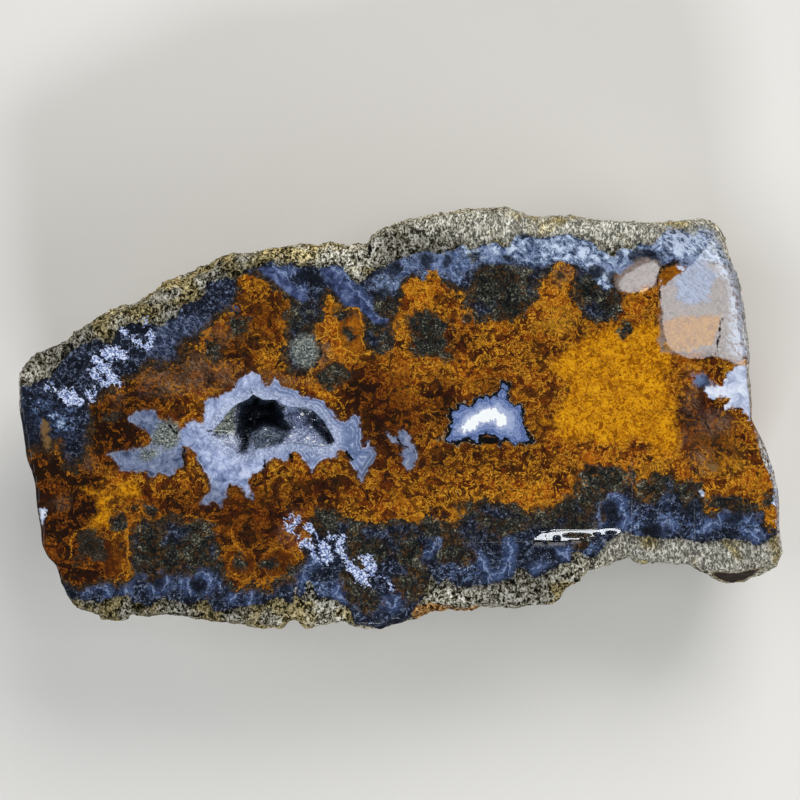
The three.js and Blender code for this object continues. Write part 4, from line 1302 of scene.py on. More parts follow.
def moss_color(paint, grain, settings):
    """Rust, orange and brown moss: plates, worm-like grain and thin gold edges."""
    mood = moss_mood(paint)
    _, dusky, calm = mood
    color, plate, relief, raised = moss_plates(paint, grain, settings, mood)
    color = moss_hues(paint, grain, color, mood)
    color = moss_worms(paint, grain, color, raised, calm)
    color = paint.lay(color, paint.tones(grain.worms, PLUM_TONES), grain.loose("plum"), 0.55)
    color = paint.lay(color, paint.tones(grain.fibres, TAN_TONES), grain.loose("tan", 3.5), 0.6)
    rim_tone = paint.mix(paint.either(dusky, calm), linear(*PLATE_EDGE), linear(*DUSKY_EDGE))
    rims = paint.either(paint.line(relief, 0.512, 0.032), paint.line(relief, 0.60, 0.022))
    color = paint.lay(color, rim_tone, rims, paint.rise(grain.frilly, -0.10, 0.04), 0.85)
    color = paint.lay(color, MOSS_PIT, paint.rise(grain.plates, 0.36, 0.345), 0.85)
    plate_depth = grain.depth("plates", 3, 1.5)
    color = paint.lay(color, paint.shade(plate, 0.8), paint.rise(plate_depth, -0.1, 0.15), 0.6)
    color = paint.lay(color, rim_tone, paint.line(plate_depth, 0, 0.2), 0.6)
    gold = paint.times(grain.thread("gold", 3.0, 0.2), paint.rise(grain.frilly, -0.12, 0.0))
    return paint.lay(color, GOLD_THREAD, gold, 0.8)


def ochre_color(paint, grain, settings):
    """Solid yellow ochre with a mustard grain."""
    tone = paint.plus(paint.times(grain.fine, 0.45), grain.cloud, 0.55)
    color = paint.tones(tone, OCHRE_TONES, settings.ochre)
    color = paint.lay(color, OCHRE_WORM, paint.rise(grain.worms, 0.47, 0.40), 0.7)
    color = paint.lay(color, OCHRE_SHADOW, paint.rise(grain.plates, 0.46, 0.42), 0.5)
    return paint.lay(color, OCHRE_EDGE, paint.line(grain.worms, 0.54, 0.035), 0.5)


def chalcedony_color(paint, grain, settings):
    """Clear navy chalcedony with blue clouds and white scalloped threads."""
    texture = paint.plus(paint.times(grain.cloud, 0.4), grain.fine, 0.2)
    texture = paint.plus(texture, grain.worms, 0.4)
    haze = paint.rise(paint.plus(paint.field("haze"), grain.ragged, 9), -1.2, 3.6)
    haze = paint.times(haze, paint.rise(texture, 0.42, 0.60, 0.08, 0.72))
    clouds = paint.plus(paint.times(grain.cloud, 0.7), grain.fibres, 0.3)
    band = paint.times(grain.share("band", 4, 3, -0.5, 1.2), paint.rise(clouds, 0.38, 0.62, 0.26, 1.0))
    band = paint.times(band, paint.plus(1.0, paint.rise(paint.field("dim_band"), -1, 2), -0.5))
    tone = paint.plus(paint.either(haze, band), paint.rise(texture, 0.44, 0.64), 0.16)
    color = paint.tones(tone, CHALCEDONY_TONES, settings.chalcedony)
    sparks = paint.times(paint.rise(grain.fine, 0.66, 0.71), paint.rise(tone, 0.12, 0.4), 0.8)
    color = paint.lay(color, BLUE_SPARK, sparks)
    wisps = paint.times(paint.line(grain.fibres, 0.53, 0.035), band)
    color = paint.lay(color, BLUE_WISP, wisps, 0.8)
    gaps = paint.times(paint.rise(grain.fibres, 0.42, 0.37), band)
    color = paint.lay(color, BAND_GAP, gaps, 0.8)
    striped = grain.share("striped", 5, 3, -0.8, 1)
    stripe_tone = paint.tones(grain.fibres, STRIPE_TONES)
    color = paint.lay(color, stripe_tone, striped)
    arcs = paint.either(paint.line(grain.plates, 0.5, 0.02), paint.line(grain.cloud, 0.52, 0.016))
    near_rind = paint.rise(paint.field("rind"), -6, -0.4)
    fade = paint.rise(grain.frilly, -0.06, 0.10)
    color = paint.lay(color, BLUE_ARC, arcs, fade, paint.plus(0.18, near_rind, 0.5))
    near_thread = paint.rise(paint.field("thread"), -1.9, 0.1)
    halo = paint.times(near_thread, paint.rise(texture, 0.40, 0.56, 0.15, 0.75))
    color = paint.lay(color, THREAD_HALO, halo)
    plume_depth = grain.depth("plume", 1.6, 1.4)
    plume_tone = paint.tones(grain.cloud, PLUME_TONES)
    color = paint.lay(color, plume_tone, paint.rise(plume_depth, -0.4, 0.6))
    beads = paint.rise(grain.fine, 0.36, 0.54, 0.15, 0.85)
    color = paint.lay(color, BLUE_THREAD, grain.thread("thread", 2.4, 0.3), beads, 0.8)
    return paint.lay(color, BLUE_PIT, grain.share("pits", 5, 2.5, -0.6, 0.5), 0.85)


def murk_color(paint, grain):
    """Green-black to brown-black moss with fine sparkling grains."""
    sparkle = paint.plus(paint.times(grain.fine, 0.55), grain.cloud, 0.45)
    color = paint.tones(sparkle, MURK_TONES)
    rust_tone = paint.tones(grain.worms, RUST_TONES)
    rust = paint.rise(paint.plus(grain.plates, paint.field("murk"), -0.03), 0.44, 0.54, 0.0, 0.8)
    color = paint.lay(color, rust_tone, rust)
    calm = paint.rise(paint.field("calm"), -2, 3)
    brown = paint.tones(grain.fibres, BROWN_TONES)
    color = paint.lay(color, brown, calm, 0.4)
    return paint.shade(color, paint.rise(paint.plus(paint.field("murk"), grain.bend, 6), 0.5, 4, 1.15, 0.6))


def ring_color(paint, grain, settings):
    """Banded lavender chalcedony, whiter towards the hollow."""
    outward = paint.plus(paint.plus(paint.field("ring"), grain.frilly, 0.8), grain.ragged, 0.8)
    inward = paint.plus(paint.times(paint.field("rim"), -1.0), grain.frilly, 1.2)
    color = paint.tones(grain.cloud, RING_TONES, settings.lavender)
    glow = paint.rise(inward, 5.0, 0.5, 0.0, 0.5)
    milky = paint.tones(grain.cloud, MILKY_TONES)
    color = paint.lay(color, milky, glow)
    lined = paint.rise(paint.field("lined"), -2, 1.5)
    color = paint.lay(color, LINED_TINT, lined, 0.7)
    banded = paint.times(paint.plus(0.10, lined, 0.55), paint.rise(grain.cloud, 0.40, 0.55))
    for depth, width, tint in RING_LINES:
        color = paint.lay(color, tint, paint.line(outward, depth, width), banded)
    color = paint.lay(color, RING_EDGE, paint.line(outward, 0.14, 0.14), 0.6)
    milk = paint.tones(grain.fine, RIM_TONES)
    color = paint.lay(color, milk, paint.rise(inward, 1.2, 0.1, 0.0, 0.5))
    color = paint.lay(color, paint.shade(color, 0.42), paint.rise(inward, 5.5, 9, 0.0, 0.75))
    return paint.shade(color, paint.rise(grain.fine, 0.36, 0.64, 0.86, 1.12))


def druse_color(paint, grain):
    """Fine grey-green crystals seen on the flat."""
    return paint.tones(grain.fine, DRUSE_TONES)


def pocket_color(paint, grain):
    """The closed pocket: blue bands round a white heart."""
    depth = paint.plus(grain.depth("pocket", 0.4, 1.8, 1.2), grain.ragged, 0.5)
    color = paint.tones(paint.times(depth, 0.25), POCKET_TONES)
    for level, width, tint in POCKET_LINES:
        color = paint.lay(color, tint, paint.line(depth, level, width), 0.6)
    core = paint.plus(paint.plus(paint.field("heart"), grain.frilly, 2.0), grain.scallop, 0.7)
    shell = paint.tones(grain.fine, SHELL_TONES)
    color = paint.lay(color, shell, paint.rise(core, -1.0, -0.1, 0.0, 0.75))
    return paint.lay(color, HEART_WHITE, paint.rise(core, -0.12, 0.12))


def rind_color(paint, grain, speckle, settings):
    """Host rock: pale feldspar and quartz grains with dark gaps, yellow stain and a brown skin, which is
    painted lighter on the sides below the face: painted light.
    """
    soft = paint.rise(paint.field("soft_rock"), -3, 2)
    clumps = paint.plus(paint.times(speckle, 0.45), grain.worms, 0.55)
    tone = paint.mix(soft, clumps, paint.plus(paint.times(speckle, 0.8), grain.cloud, 0.2))
    color = paint.tones(tone, RIND_TONES, settings.rind)
    color = paint.lay(color, SOFT_ROCK_TINT, soft, 0.28)
    level = paint.plus(1.0, paint.rise(paint.field("pale_rock"), -2, 2), 0.42)
    level = paint.plus(level, paint.rise(paint.field("dim_rock"), -3, 2), -0.42)
    color = paint.shade(color, level)
    stain = paint.plus(grain.broad, paint.rise(paint.field("yellow_rock"), -3, 3), 0.16)
    stained = paint.vector("MULTIPLY", color, linear(*YELLOW_STAIN))
    color = paint.lay(color, stained, paint.rise(stain, 0.56, 0.72))
    color = paint.shade(color, paint.rise(paint.field("rind"), 0.2, 1.8, 0.6, 1.0))
    skin = paint.rise(paint.field("below"), 0.3, 1.8)
    skin_stain = paint.tones(grain.cloud, SKIN_TONES)
    # Painted light: the sides below the face are painted 1.45 times lighter because they face away from the
    # lamps.
    skin_with_painted_light = paint.vector("MULTIPLY", paint.shade(color, 1.45), skin_stain)
    skin = paint.times(skin, paint.plus(1.0, soft, -0.6))
    return paint.lay(color, skin_with_painted_light, skin)


def stone_and_painted_reflection_color(paint, grain, color):
    """The stone round the window's reflection: grey, blue and tan clouds, which are partly the stone's
    colour and partly painted reflection, and a dry amber chip.
    """
    # Grey, blue and tan clouds: partly the stone's colour, partly painted reflection.
    grey = paint.tones(grain.worms, GREY_CLOUD_AND_REFLECTION_TONES)
    color = paint.lay(color, grey, grain.share("grey_cloud_and_painted_reflection", 5, 2, -0.8, 0.8))
    blue = paint.tones(grain.fibres, BLUE_CLOUD_AND_REFLECTION_TONES)
    color = paint.lay(color, blue, grain.share("blue_cloud_and_painted_reflection", 6, 3, -0.8, 0.8))
    tan = paint.tones(grain.worms, TAN_CLOUD_AND_REFLECTION_TONES)
    color = paint.lay(color, tan, grain.share("tan_cloud_and_painted_reflection", 3, 3, -0.5, 0.5))
    tongue = paint.tones(grain.cloud, TONGUE_TONES)
    color = paint.lay(color, tongue, grain.share("tongue", 5, 3, -0.8, 0.8))
    color = paint.lay(color, SAND_TINT, grain.share("sand", 3, 2, -0.6, 0.6))
    amber = paint.tones(grain.fibres, AMBER_TONES)
    return paint.lay(color, amber, grain.share("amber", 1.5, 1))


def pocket_edge(paint, grain, color):
    """The closed pocket with its black rim and the pale thread outside it."""
    depth = grain.depth("pocket", 0.4, 1.2, 1.2)
    color = paint.lay(color, POCKET_SHADOW, paint.rise(depth, -1.2, -0.3, 0.0, 0.6))
    color = paint.lay(color, pocket_color(paint, grain), paint.rise(depth, -0.06, 0.1))
    border = paint.rise(grain.ragged, -0.1, 0.12, 0.12, 0.42)
    gap = paint.math("ABSOLUTE", paint.plus(depth, border, 0.6))
    black = paint.rise(paint.math("SUBTRACT", gap, border), 0.08, -0.05)
    color = paint.lay(color, POCKET_BLACK, black)
    thread = paint.line(paint.plus(depth, border, 1.7), 0, 0.12)
    thread = paint.times(thread, paint.rise(grain.frilly, -0.08, 0.04))
    return paint.lay(color, POCKET_THREAD, thread)


def vein_color(paint, grain, settings):
    """The inside of the vein: chalcedony, dark moss and rusty moss."""
    color = chalcedony_color(paint, grain, settings)
    murk = paint.rise(grain.depth("moss", 8, 3), -2.6, -0.6)
    murk = paint.either(murk, grain.share("murk", 12, 4, -1.2, 0.8))
    dark_moss = murk_color(paint, grain)
    blue = paint.either(grain.share("band", 4, 3, -0.2, 0.6), grain.share("plume", 1.6, 1.4, -0.4, 0.4))
    color = paint.lay(color, dark_moss, murk, paint.math("SUBTRACT", 1.0, blue))

    moss_depth = grain.depth("moss", 11, 4)
    moss_tone = moss_color(paint, grain, settings)
    ochre = grain.share("ochre", 9, 4, -1.4, 1.4)
    moss_tone = paint.lay(moss_tone, ochre_color(paint, grain, settings), ochre)
    cell_depth = grain.depth("murk", 12, 4)
    moss_tone = paint.lay(moss_tone, dark_moss, paint.rise(cell_depth, -0.7, 0.8))
    outline = paint.either(paint.line(cell_depth, -0.7, 0.2), paint.line(moss_depth, 0.2, 0.18))
    outline = paint.times(outline, paint.rise(grain.cloud, 0.50, 0.58))
    moss_tone = paint.lay(moss_tone, CELL_EDGE, outline, 0.6)
    return paint.lay(color, moss_tone, paint.rise(moss_depth, -0.1, 0.12))


def banded_parts(paint, grain, color, settings):
    """The ring and the druse round the hollow, the closed pocket, the pale chips and the seams."""
    ring_depth = grain.depth("ring", 1.8, 2.2, 0.6)
    color = paint.lay(color, RING_SHADOW, paint.rise(ring_depth, -1.1, -0.2, 0.0, 0.6))
    color = paint.lay(color, ring_color(paint, grain, settings), paint.rise(ring_depth, -0.32, 0.34))
    color = paint.lay(color, druse_color(paint, grain), grain.share("druse", 5, 3, -0.8, 1.4))
    color = pocket_edge(paint, grain, color)

    pale_tone = paint.tones(grain.cloud, PALE_TONES)
    color = paint.lay(color, pale_tone, grain.share("pale", 3.5, 2, -0.2, 0.35))
    seam = paint.times(grain.thread("seam", 0.1, 0.14), paint.rise(grain.fine, 0.4, 0.56, 0.05, 0.45))
    return paint.lay(color, SEAM_TINT, seam)


def border_parts(paint, grain, speckle, color, settings):
    """The rind, the crumbled edges, the frost, which is partly painted reflection, and the flecks, with
    painted highlights along the right edge, the ledge, and the drop, whose dark lump is painted shade.
    """
    rind = grain.share("rind", 2.2, 2.2, -0.12, 0.14)
    color = paint.lay(color, rind_color(paint, grain, speckle, settings), rind)
    chipped = paint.rise(paint.field("below"), 0.05, 0.5)
    chipped = paint.times(chipped, paint.rise(paint.field("edge"), -1, 0.5), paint.field("top"))
    crust_tone = paint.tones(speckle, CRUST_TONES)
    color = paint.lay(color, crust_tone, chipped)
    # Partly painted reflection: the pale frost at the top right.
    frost_and_painted_reflection = grain.share("frost_and_painted_reflection", 5, 3, -1.2, 1.2)
    frost_and_painted_reflection = paint.times(frost_and_painted_reflection, paint.rise(grain.fibres, 0.42, 0.56, 0.05, 0.78))
    color = paint.lay(color, FROST_AND_REFLECTION_TINT, frost_and_painted_reflection)
    shards = paint.plus(paint.times(grain.fibres, 0.5), grain.cloud, 0.5)
    # White flecks, and along the right edge painted highlights.
    fleck_and_glint = paint.rise(paint.plus(shards, grain.depth("flecks_and_painted_glints", 2.5, 3.5), 0.17), 0.50, 0.53)
    fleck_tone = paint.tones(grain.fine, FLECK_AND_GLINT_TONES)
    color = paint.lay(color, fleck_tone, fleck_and_glint)
    ledge_tone = paint.tones(grain.worms, LEDGE_TONES)
    color = paint.lay(color, ledge_tone, grain.share("ledge", 2, 1.5, -0.2, 0.4))
    drop_depth = grain.depth("drop", 1.5, 0.5)
    # Painted shade on the dark lump below the face.
    color = paint.lay(color, DROP_PAINTED_SHADE, paint.rise(drop_depth, -0.05, 0.1))
    return paint.lay(color, DROP_EDGE, paint.line(drop_depth, 0.05, 0.16), 0.8)


def agate_pattern(paint, grain, speckle, settings):
    """The colour of the whole stone, and its cracks. Each part covers the ones before it."""
    color = vein_color(paint, grain, settings)
    color = stone_and_painted_reflection_color(paint, grain, color)
    color = banded_parts(paint, grain, color, settings)
    color = border_parts(paint, grain, speckle, color, settings)
    crack = paint.rise(grain.depth("crack", 0.6, 1.2), -0.1, 0.1)
    return paint.lay(color, CRACK_BLACK, crack), crack


def agate_material(settings):
    """The whole stone: wet and glossy on the sawn face, rough rock round it."""
    paint = Paint("agate_stone")
    grain = Grain(paint)
    speckle = paint.noise(0.62, 3, 0.6, 0.9, (1.35, 0.75, 1), seed=9)
    color, crack = agate_pattern(paint, grain, speckle, settings)
    inner = paint.math("SUBTRACT", 1.0, grain.share("rind", 2.2, 2.2, -0.12, 0.14))
    wet = paint.times(inner, paint.field("upright"))
    margin = paint.rise(grain.depth("patch", 1.2, 0.8), 0.2, -0.3)
    margin = paint.times(margin, paint.rise(paint.field("patch"), -12, -11))
    dry = paint.either(crack, grain.share("amber", 1.5, 1), margin)
    coated = paint.times(wet, paint.math("SUBTRACT", 1.0, dry))
    sawn = paint.times(paint.rise(paint.field("rind"), 0.4, -0.2), paint.field("upright"))
    mossy = paint.times(paint.rise(paint.field("moss"), -1, 1), paint.rise(paint.field("ring"), 0.6, -0.2))
    relief = paint.times(paint.plus(grain.worms, grain.fine, 0.6), paint.plus(0.02, mossy, 0.16), sawn)
    rock = paint.times(speckle, paint.math("SUBTRACT", 1.0, sawn))
    ground = paint.bump(paint.plus(relief, rock, 1.2), 0.6)
    film = paint.bump(paint.noise(6, 2, 0.5, seed=10), 0.015, 0.6)
    return paint.finish(
        Base_Color=color,
        Roughness=paint.plus(0.75, wet, -0.2),
        Normal=ground,
        Specular_IOR_Level=0.05,
        Coat_Weight=coated,
        Coat_Roughness=0.02,
        Coat_IOR=1.33,
        Coat_Normal=film,
    )


def quartz_material(settings, agate):
    """Quartz: milky at the mouth and on the slopes, grey-green druse, black in the deep hole and dark in
    the lobe, which is painted shade, and white glints, which are painted highlights.
    """
    paint = Paint("hollow_quartz")
    grain = Grain(paint)
    texture = paint.plus(paint.times(grain.cloud, 0.45), grain.fine, 0.55)
    color = paint.tones(texture, QUARTZ_TONES, settings.tint)
    # The lobe and the deep hole are painted dark: painted shade.
    for name, tones in HOLLOW_TONES_AND_PAINTED_SHADE.items():
        tone = paint.tones(texture, tones)
        color = paint.lay(color, tone, grain.share(name, 2.4, 2.4, -0.9, 0.6))
    crack = paint.rise(grain.depth("crack", 0.6, 0.8), -0.1, 0.1)
    color = paint.lay(color, HOLLOW_CRACK, crack)
    color = paint.lay(color, HOLLOW_THREAD, grain.thread("thread", 0.5, 0.16))
    # Painted highlights: white glints on the crust.
    color = paint.lay(color, PAINTED_GLINT_WHITE, paint.rise(grain.depth("painted_glint", 0.5, 0.6), -0.04, 0.06))
    mouth = paint.rise(paint.plus(paint.field("rim"), grain.frilly, 1.2), 0.55, 0.1)
    color = paint.lay(color, ring_color(paint, grain, agate), mouth)
    flush = paint.rise(paint.field("below"), 0.3, 0.05)
    return paint.finish(
        Base_Color=color,
        Roughness=paint.plus(0.12, flush, 0.43),
        IOR=1.54,
        Specular_IOR_Level=0.4,
    )


def floor_material(settings):
    """A plain matt board."""
    paint = Paint("pale_board")
    fibres = paint.noise(40, 4, 0.5, seed=38)
    color = paint.mix(paint.times(fibres, 0.05), settings.floor, HALF_GREY)
    return paint.finish(Base_Color=color, Roughness=0.85, Specular_IOR_Level=0.2)


def link(name, mesh, material):
    """A new object for a mesh, in the scene."""
    piece = bpy.data.objects.new(name, mesh)
    bpy.context.scene.collection.objects.link(piece)
    mesh.materials.clear()
    mesh.materials.append(material)
    return piece


def evaluated_mesh(piece):
    """The mesh of an object with its modifiers, which replaces the object."""
    bpy.context.view_layer.update()
    mesh = bpy.data.meshes.new_from_object(piece.evaluated_get(bpy.context.evaluated_depsgraph_get()))
    bpy.data.objects.remove(piece)
    return mesh


def water_edges(pixels_x):
    """The upper and the lower edge of the meniscus at places along it, in pixels."""
    return (
        np.interp(pixels_x, *np.array(WATER_TOP).T),
        np.interp(pixels_x, *np.array(WATER_FOOT).T),
    )


def water_height(pixels_x, pixels_y):
    """Height of the sloping meniscus, which is flat in a few places, in mm."""
    level = pixels_y
    for x, y, half_width, half_height in WATER_FLATS:
        inside = ((pixels_x - x) / half_width) ** 2 + ((pixels_y - y) / half_height) ** 2 < 1
        level = np.where(inside, y, level)
    return FACE_HEIGHT - WATER_SLOPE * (level - WATER_LINE) * MM_PER_PIXEL


def sink_under_water(points):
    """Lowers the stone under the meniscus."""
    x = (points[:, 0] - MIDDLE_SHIFT[0]) / MM_PER_PIXEL + MIDDLE_PIXEL[0]
    y = MIDDLE_PIXEL[1] - (points[:, 1] - MIDDLE_SHIFT[1]) / MM_PER_PIXEL
    top, foot = water_edges(x)
    inside = (y > top) & (y < foot) & (x > WATER_TOP[0][0]) & (x < WATER_TOP[-1][0])
    near_face = points[:, 2] > FACE_HEIGHT - 2 * STEP_DEPTH
    lowered = np.minimum(points[:, 2], water_height(x, y) - WATER_BED)
    points[:, 2] = np.where(inside & near_face, lowered, points[:, 2])


def slab(top_points, cells, thickness):
    """Points and faces of a closed sheet under a net of four-sided cells."""
    used, cells = np.unique(cells, return_inverse=True)
    cells = cells.reshape(-1, 4)
    top_points = top_points[used]
    count = len(top_points)
    points = np.vstack([top_points, top_points - (0, 0, thickness)])
    starts = cells.ravel()
    ends = np.roll(cells, -1, axis=1).ravel()
    outer = ~np.isin(starts * count + ends, ends * count + starts)
    starts, ends = starts[outer], ends[outer]
    walls = np.stack([ends, starts, starts + count, ends + count], axis=1)
    return points, np.vstack([cells, cells[:, ::-1] + count, walls])


def net_cells(rows, columns):
    """The cells of a net of points that are numbered row by row."""
    number = np.arange(rows * columns).reshape(rows, columns)
    corners = (number[:-1, :-1], number[1:, :-1], number[1:, 1:], number[:-1, 1:])
    return np.stack(corners, axis=-1).reshape(-1, 4)


def meniscus():
    """Points and faces of the water that stands in the saw step."""
    x = np.linspace(WATER_TOP[0][0], WATER_TOP[-1][0], WATER_COLUMNS)
    top, foot = water_edges(x)
    share = np.linspace(0, 1, WATER_ROWS)
    pixels_y = foot[:, None] + (top - foot)[:, None] * share
    pixels_x = np.repeat(x[:, None], len(share), axis=1)
    heights = water_height(pixels_x, pixels_y) + WATER_LIFT
    places = np.stack([*in_frame(pixels_x, pixels_y), heights], axis=-1)
    return slab(places.reshape(-1, 3), net_cells(len(x), len(share)), WATER_THICKNESS)


def joined_mesh(name, mesh, points, faces):
    """A mesh with more points, in mm, and faces."""
    flat_faces = [tuple(face.vertices) for face in mesh.polygons]
    all_points = np.vstack([mesh_points(mesh), points]) * MM
    count = len(mesh.vertices)
    joined = bpy.data.meshes.new(name)
    joined.from_pydata(all_points.tolist(), [], flat_faces + (faces + count).tolist())
    joined.update()
    return joined


def even_mesh(source, step, most_triangles):
    """A copy of a CAD mesh with points an even step apart, thinned out below the face."""
    rough = bpy.data.objects.new("rough_block", source.data.copy())
    bpy.context.scene.collection.objects.link(rough)
    remesh = rough.modifiers.new("even", "REMESH")
    remesh.mode = "VOXEL"
    remesh.voxel_size = step
    fine = bpy.data.objects.new("fine_block", evaluated_mesh(rough))
    bpy.context.scene.collection.objects.link(fine)
    heights = mesh_points(fine.data)[:, 2]
    low = fine.vertex_groups.new(name="low")
    low.add(np.nonzero(heights < FACE_HEIGHT - FINE_DEPTH)[0].tolist(), 1.0, "REPLACE")
    thin = fine.modifiers.new("thin", "DECIMATE")
    thin.ratio = min(1.0, most_triangles / (2 * len(fine.data.polygons)))
    thin.vertex_group = "low"
    thin.vertex_group_factor = LOW_THINNING
    return evaluated_mesh(fine)


def close_gap(points):
    """Draws the stone's edge round the hollow in over the rim of the crust."""
    flat = points[:, :2]
    rim = outline_depth(flat, HOLLOW_RIM)
    reach = 0.2
    slope = np.stack([
        outline_depth(flat + step, HOLLOW_RIM) - outline_depth(flat - step, HOLLOW_RIM)
        for step in ((reach, 0), (0, reach))
    ], axis=1)
    slope /= np.maximum(np.linalg.norm(slope, axis=1), 1e-6)[:, None]
    amount = LIP_REACH * ramp_up(rim, *LIP_START) * ramp_up(points[:, 2], *LIP_HEIGHTS)
    points[:, :2] += slope * amount[:, None]


def roughen(mesh, grain):
    """Gives the broken sides their grains and pits, and fits the face to the crust and the water."""
    points = mesh_points(mesh)
    fields = pattern_fields(points)
    wall = ramp_up(fields["below"], *WALL_START)
    in_hollow = ramp_up(fields["rim"], *HOLLOW_START)
    outer = wall * (1 - in_hollow) * ramp_up(points[:, 2], *BACK_START)
    points = smoothed(mesh, points, outer * SMOOTHING, SMOOTHING_ROUNDS)
    set_points(mesh, points)
    rock = outer * ramp_up(fields["rind"], -2, 1)
    grains = rough_lumps(points, **COARSE_GRAINS) + 0.9 * rough_lumps(points, **FINE_GRAINS)
    height = rock * grain * grains
    height += (outer - rock) * grain * 0.6 * rough_lumps(points, **BREAK_LUMPS)
    pits = np.clip(rough_lumps(points, **RIND_PITS) - 0.1, 0, None)
    height -= (1 - wall) * ramp_up(fields["rind"], -0.2, 0.8) * RIND_PIT_DEPTH * pits * (1 - in_hollow)
    points = points + mesh_normals(mesh) * height[:, None]
    close_gap(points)
    sink_under_water(points)
    set_points(mesh, points)


class OBJECT_OT_agate_block(bpy.types.Operator):
    """Builds the sawn block of agate"""

    bl_idname = "object.agate_block"
    bl_label = "Agate block"

    def execute(self, context):
        settings = context.scene.agate
        mesh = even_mesh(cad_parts["agate_block"], settings.mesh_step, settings.triangles)
        roughen(mesh, settings.grain_height / MM)
        mesh = joined_mesh("agate_stone", mesh, *meniscus())
        points = mesh_points(mesh)
        fields = pattern_fields(points)
        near_face = ramp_up(points[:, 2], *FACE_HEIGHTS)
        fields["upright"] = ramp_up(mesh_normals(mesh)[:, 2], *FACE_UPRIGHT) * near_face
        store(mesh, fields)
        mesh.polygons.foreach_set("use_smooth", np.ones(len(mesh.polygons), bool))
        stone = link("agate_stone", mesh, agate_material(settings))
        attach(stone, "root")
        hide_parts("agate_block")
        return {"FINISHED"}


def step_down(inside, step):
    """A smooth step: how far it goes down, and where inside an outline it starts and ends."""
    drop, start, end = step
    return drop * ramp_up(inside, start, end)


def hollow_depth(flat):
    """How far below the face the crust lies at each place, in mm."""
    places = np.column_stack([flat, np.zeros(len(flat))])
    wobble = rough_lumps(places, **HOLLOW_LUMPS)
    rim = outline_depth(flat, HOLLOW_RIM) + 0.35 * wobble
    hole = outline_depth(flat, DEEP_HOLE) + 0.35 * wobble
    lobe = outline_depth(flat, DARK_LOBE) + 0.25 * wobble
    depth = step_down(rim, RIM_STEP) + step_down(rim, RIM_SLOPE)
    depth += step_down(lobe, LOBE_STEP) + step_down(outline_depth(flat, DUSKY_SLOPE), DUSKY_STEP)
    depth += step_down(hole, HOLE_STEP)
    lump = outline_depth(flat, GREY_LUMP)
    above_lump = np.minimum(depth, LUMP_FOOT - step_down(lump, LUMP_STEP))
    depth = np.where(lump > LUMP_STEP[1], above_lump, depth)
    return depth + ramp_up(rim, *CRUST_START) * CRUST_WAVE * rough_lumps(places, **CRUST_LUMPS)


def crust_sheet(low, high, step):
    """Points and faces of the crust: flush with the face round the hollow's mouth, then down its slopes."""
    across = np.arange(low.x / MM, high.x / MM, step)
    along = np.arange(low.y / MM, high.y / MM, step)
    net = np.stack(np.meshgrid(across, along, indexing="ij"), axis=-1).reshape(-1, 2)
    kept = outline_depth(net, HOLLOW_RIM) > -CRUST_RIM
    cells = net_cells(len(across), len(along))
    cells = cells[kept[cells].all(axis=1)]
    places = np.column_stack([net, FACE_HEIGHT + CRUST_LIFT - hollow_depth(net)])
    return slab(places, cells, CRUST_THICKNESS)


def add_crystal(shape, foot, direction, width, height, turn):
    """Adds one crystal with a point to a mesh."""
    lie = Vector((0, 0, 1)).rotation_difference(direction) @ Quaternion((0, 0, 1), turn)
    rings = []
    for level in (CRYSTAL_FOOT * height, CRYSTAL_SHOULDER * height):
        ring = []
        for side in range(CRYSTAL_SIDES):
            spoke = side * math.tau / CRYSTAL_SIDES
            corner = Vector((width / 2 * math.cos(spoke), width / 2 * math.sin(spoke), level))
            ring.append(shape.verts.new(foot + lie @ corner))
        rings.append(ring)
    low, high = rings
    tip = shape.verts.new(foot + lie @ Vector((0, 0, height)))
    for side in range(CRYSTAL_SIDES):
        following = (side + 1) % CRYSTAL_SIDES
        shape.faces.new((low[side], low[following], high[following], high[side]))
        shape.faces.new((high[side], high[following], tip))
    shape.faces.new(list(reversed(low)))


def crystal_places(count, random):
    """Places for crystals in the hollow: pixels and a width in mm, or None for a small one."""
    places = [(x, y, width) for x, y, width in LARGE_CRYSTALS]
    for _ in range(count):
        x, y, half_width, half_height = CRYSTAL_BEDS[random.integers(len(CRYSTAL_BEDS))]
        spread, angle = math.sqrt(random.random()), random.random() * math.tau
        x += half_width * spread * math.cos(angle)
        y += half_height * spread * math.sin(angle)
        places.append((x, y, None))
    return places


class OBJECT_OT_agate_crystals(bpy.types.Operator):
    """Grows the quartz crust in the hollow"""

    bl_idname = "object.agate_crystals"
    bl_label = "Quartz crust"

    def execute(self, context):
        settings = context.scene.agate_crystals
        low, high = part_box("quartz_crystal_crust")
        points, faces = crust_sheet(low, high, settings.sheet_step / MM)
        sheet = bpy.data.meshes.new("crust_sheet")
        sheet.from_pydata((points * MM).tolist(), [], faces.tolist())
        shape = bmesh.new()
        shape.from_mesh(sheet)
        for face in shape.faces:
            face.smooth = True
        tree = BVHTree.FromBMesh(shape)
        random = np.random.default_rng(CRYSTAL_SEED)
        for x, y, width in crystal_places(settings.count, random):
            x, y = in_frame(x, y)
            above = Vector((x * MM, y * MM, high.z + MM))
            place, normal, _, _ = tree.ray_cast(above, Vector((0, 0, -1)))
            if place is None or place.z > high.z - MOUTH_MARGIN * MM:
                continue
            width = width * MM if width else settings.width * random.lognormal(0, SIZE_SPREAD)
            lean = (normal + Vector(random.normal(size=3)) * CRYSTAL_LEAN).normalized()
            height = width * random.uniform(*CRYSTAL_HEIGHTS)
            if place.z + height < high.z - TIP_MARGIN * MM:
                add_crystal(shape, place, lean, width, height, random.random() * math.tau)
        mesh = bpy.data.meshes.new("quartz_crust")
        shape.to_mesh(mesh)
        shape.free()
        store(mesh, pattern_fields(mesh_points(mesh)))
        crust = link("quartz_crust", mesh, quartz_material(settings, context.scene.agate))
        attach(crust, "root")
        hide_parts("quartz_crystal_crust")
        return {"FINISHED"}


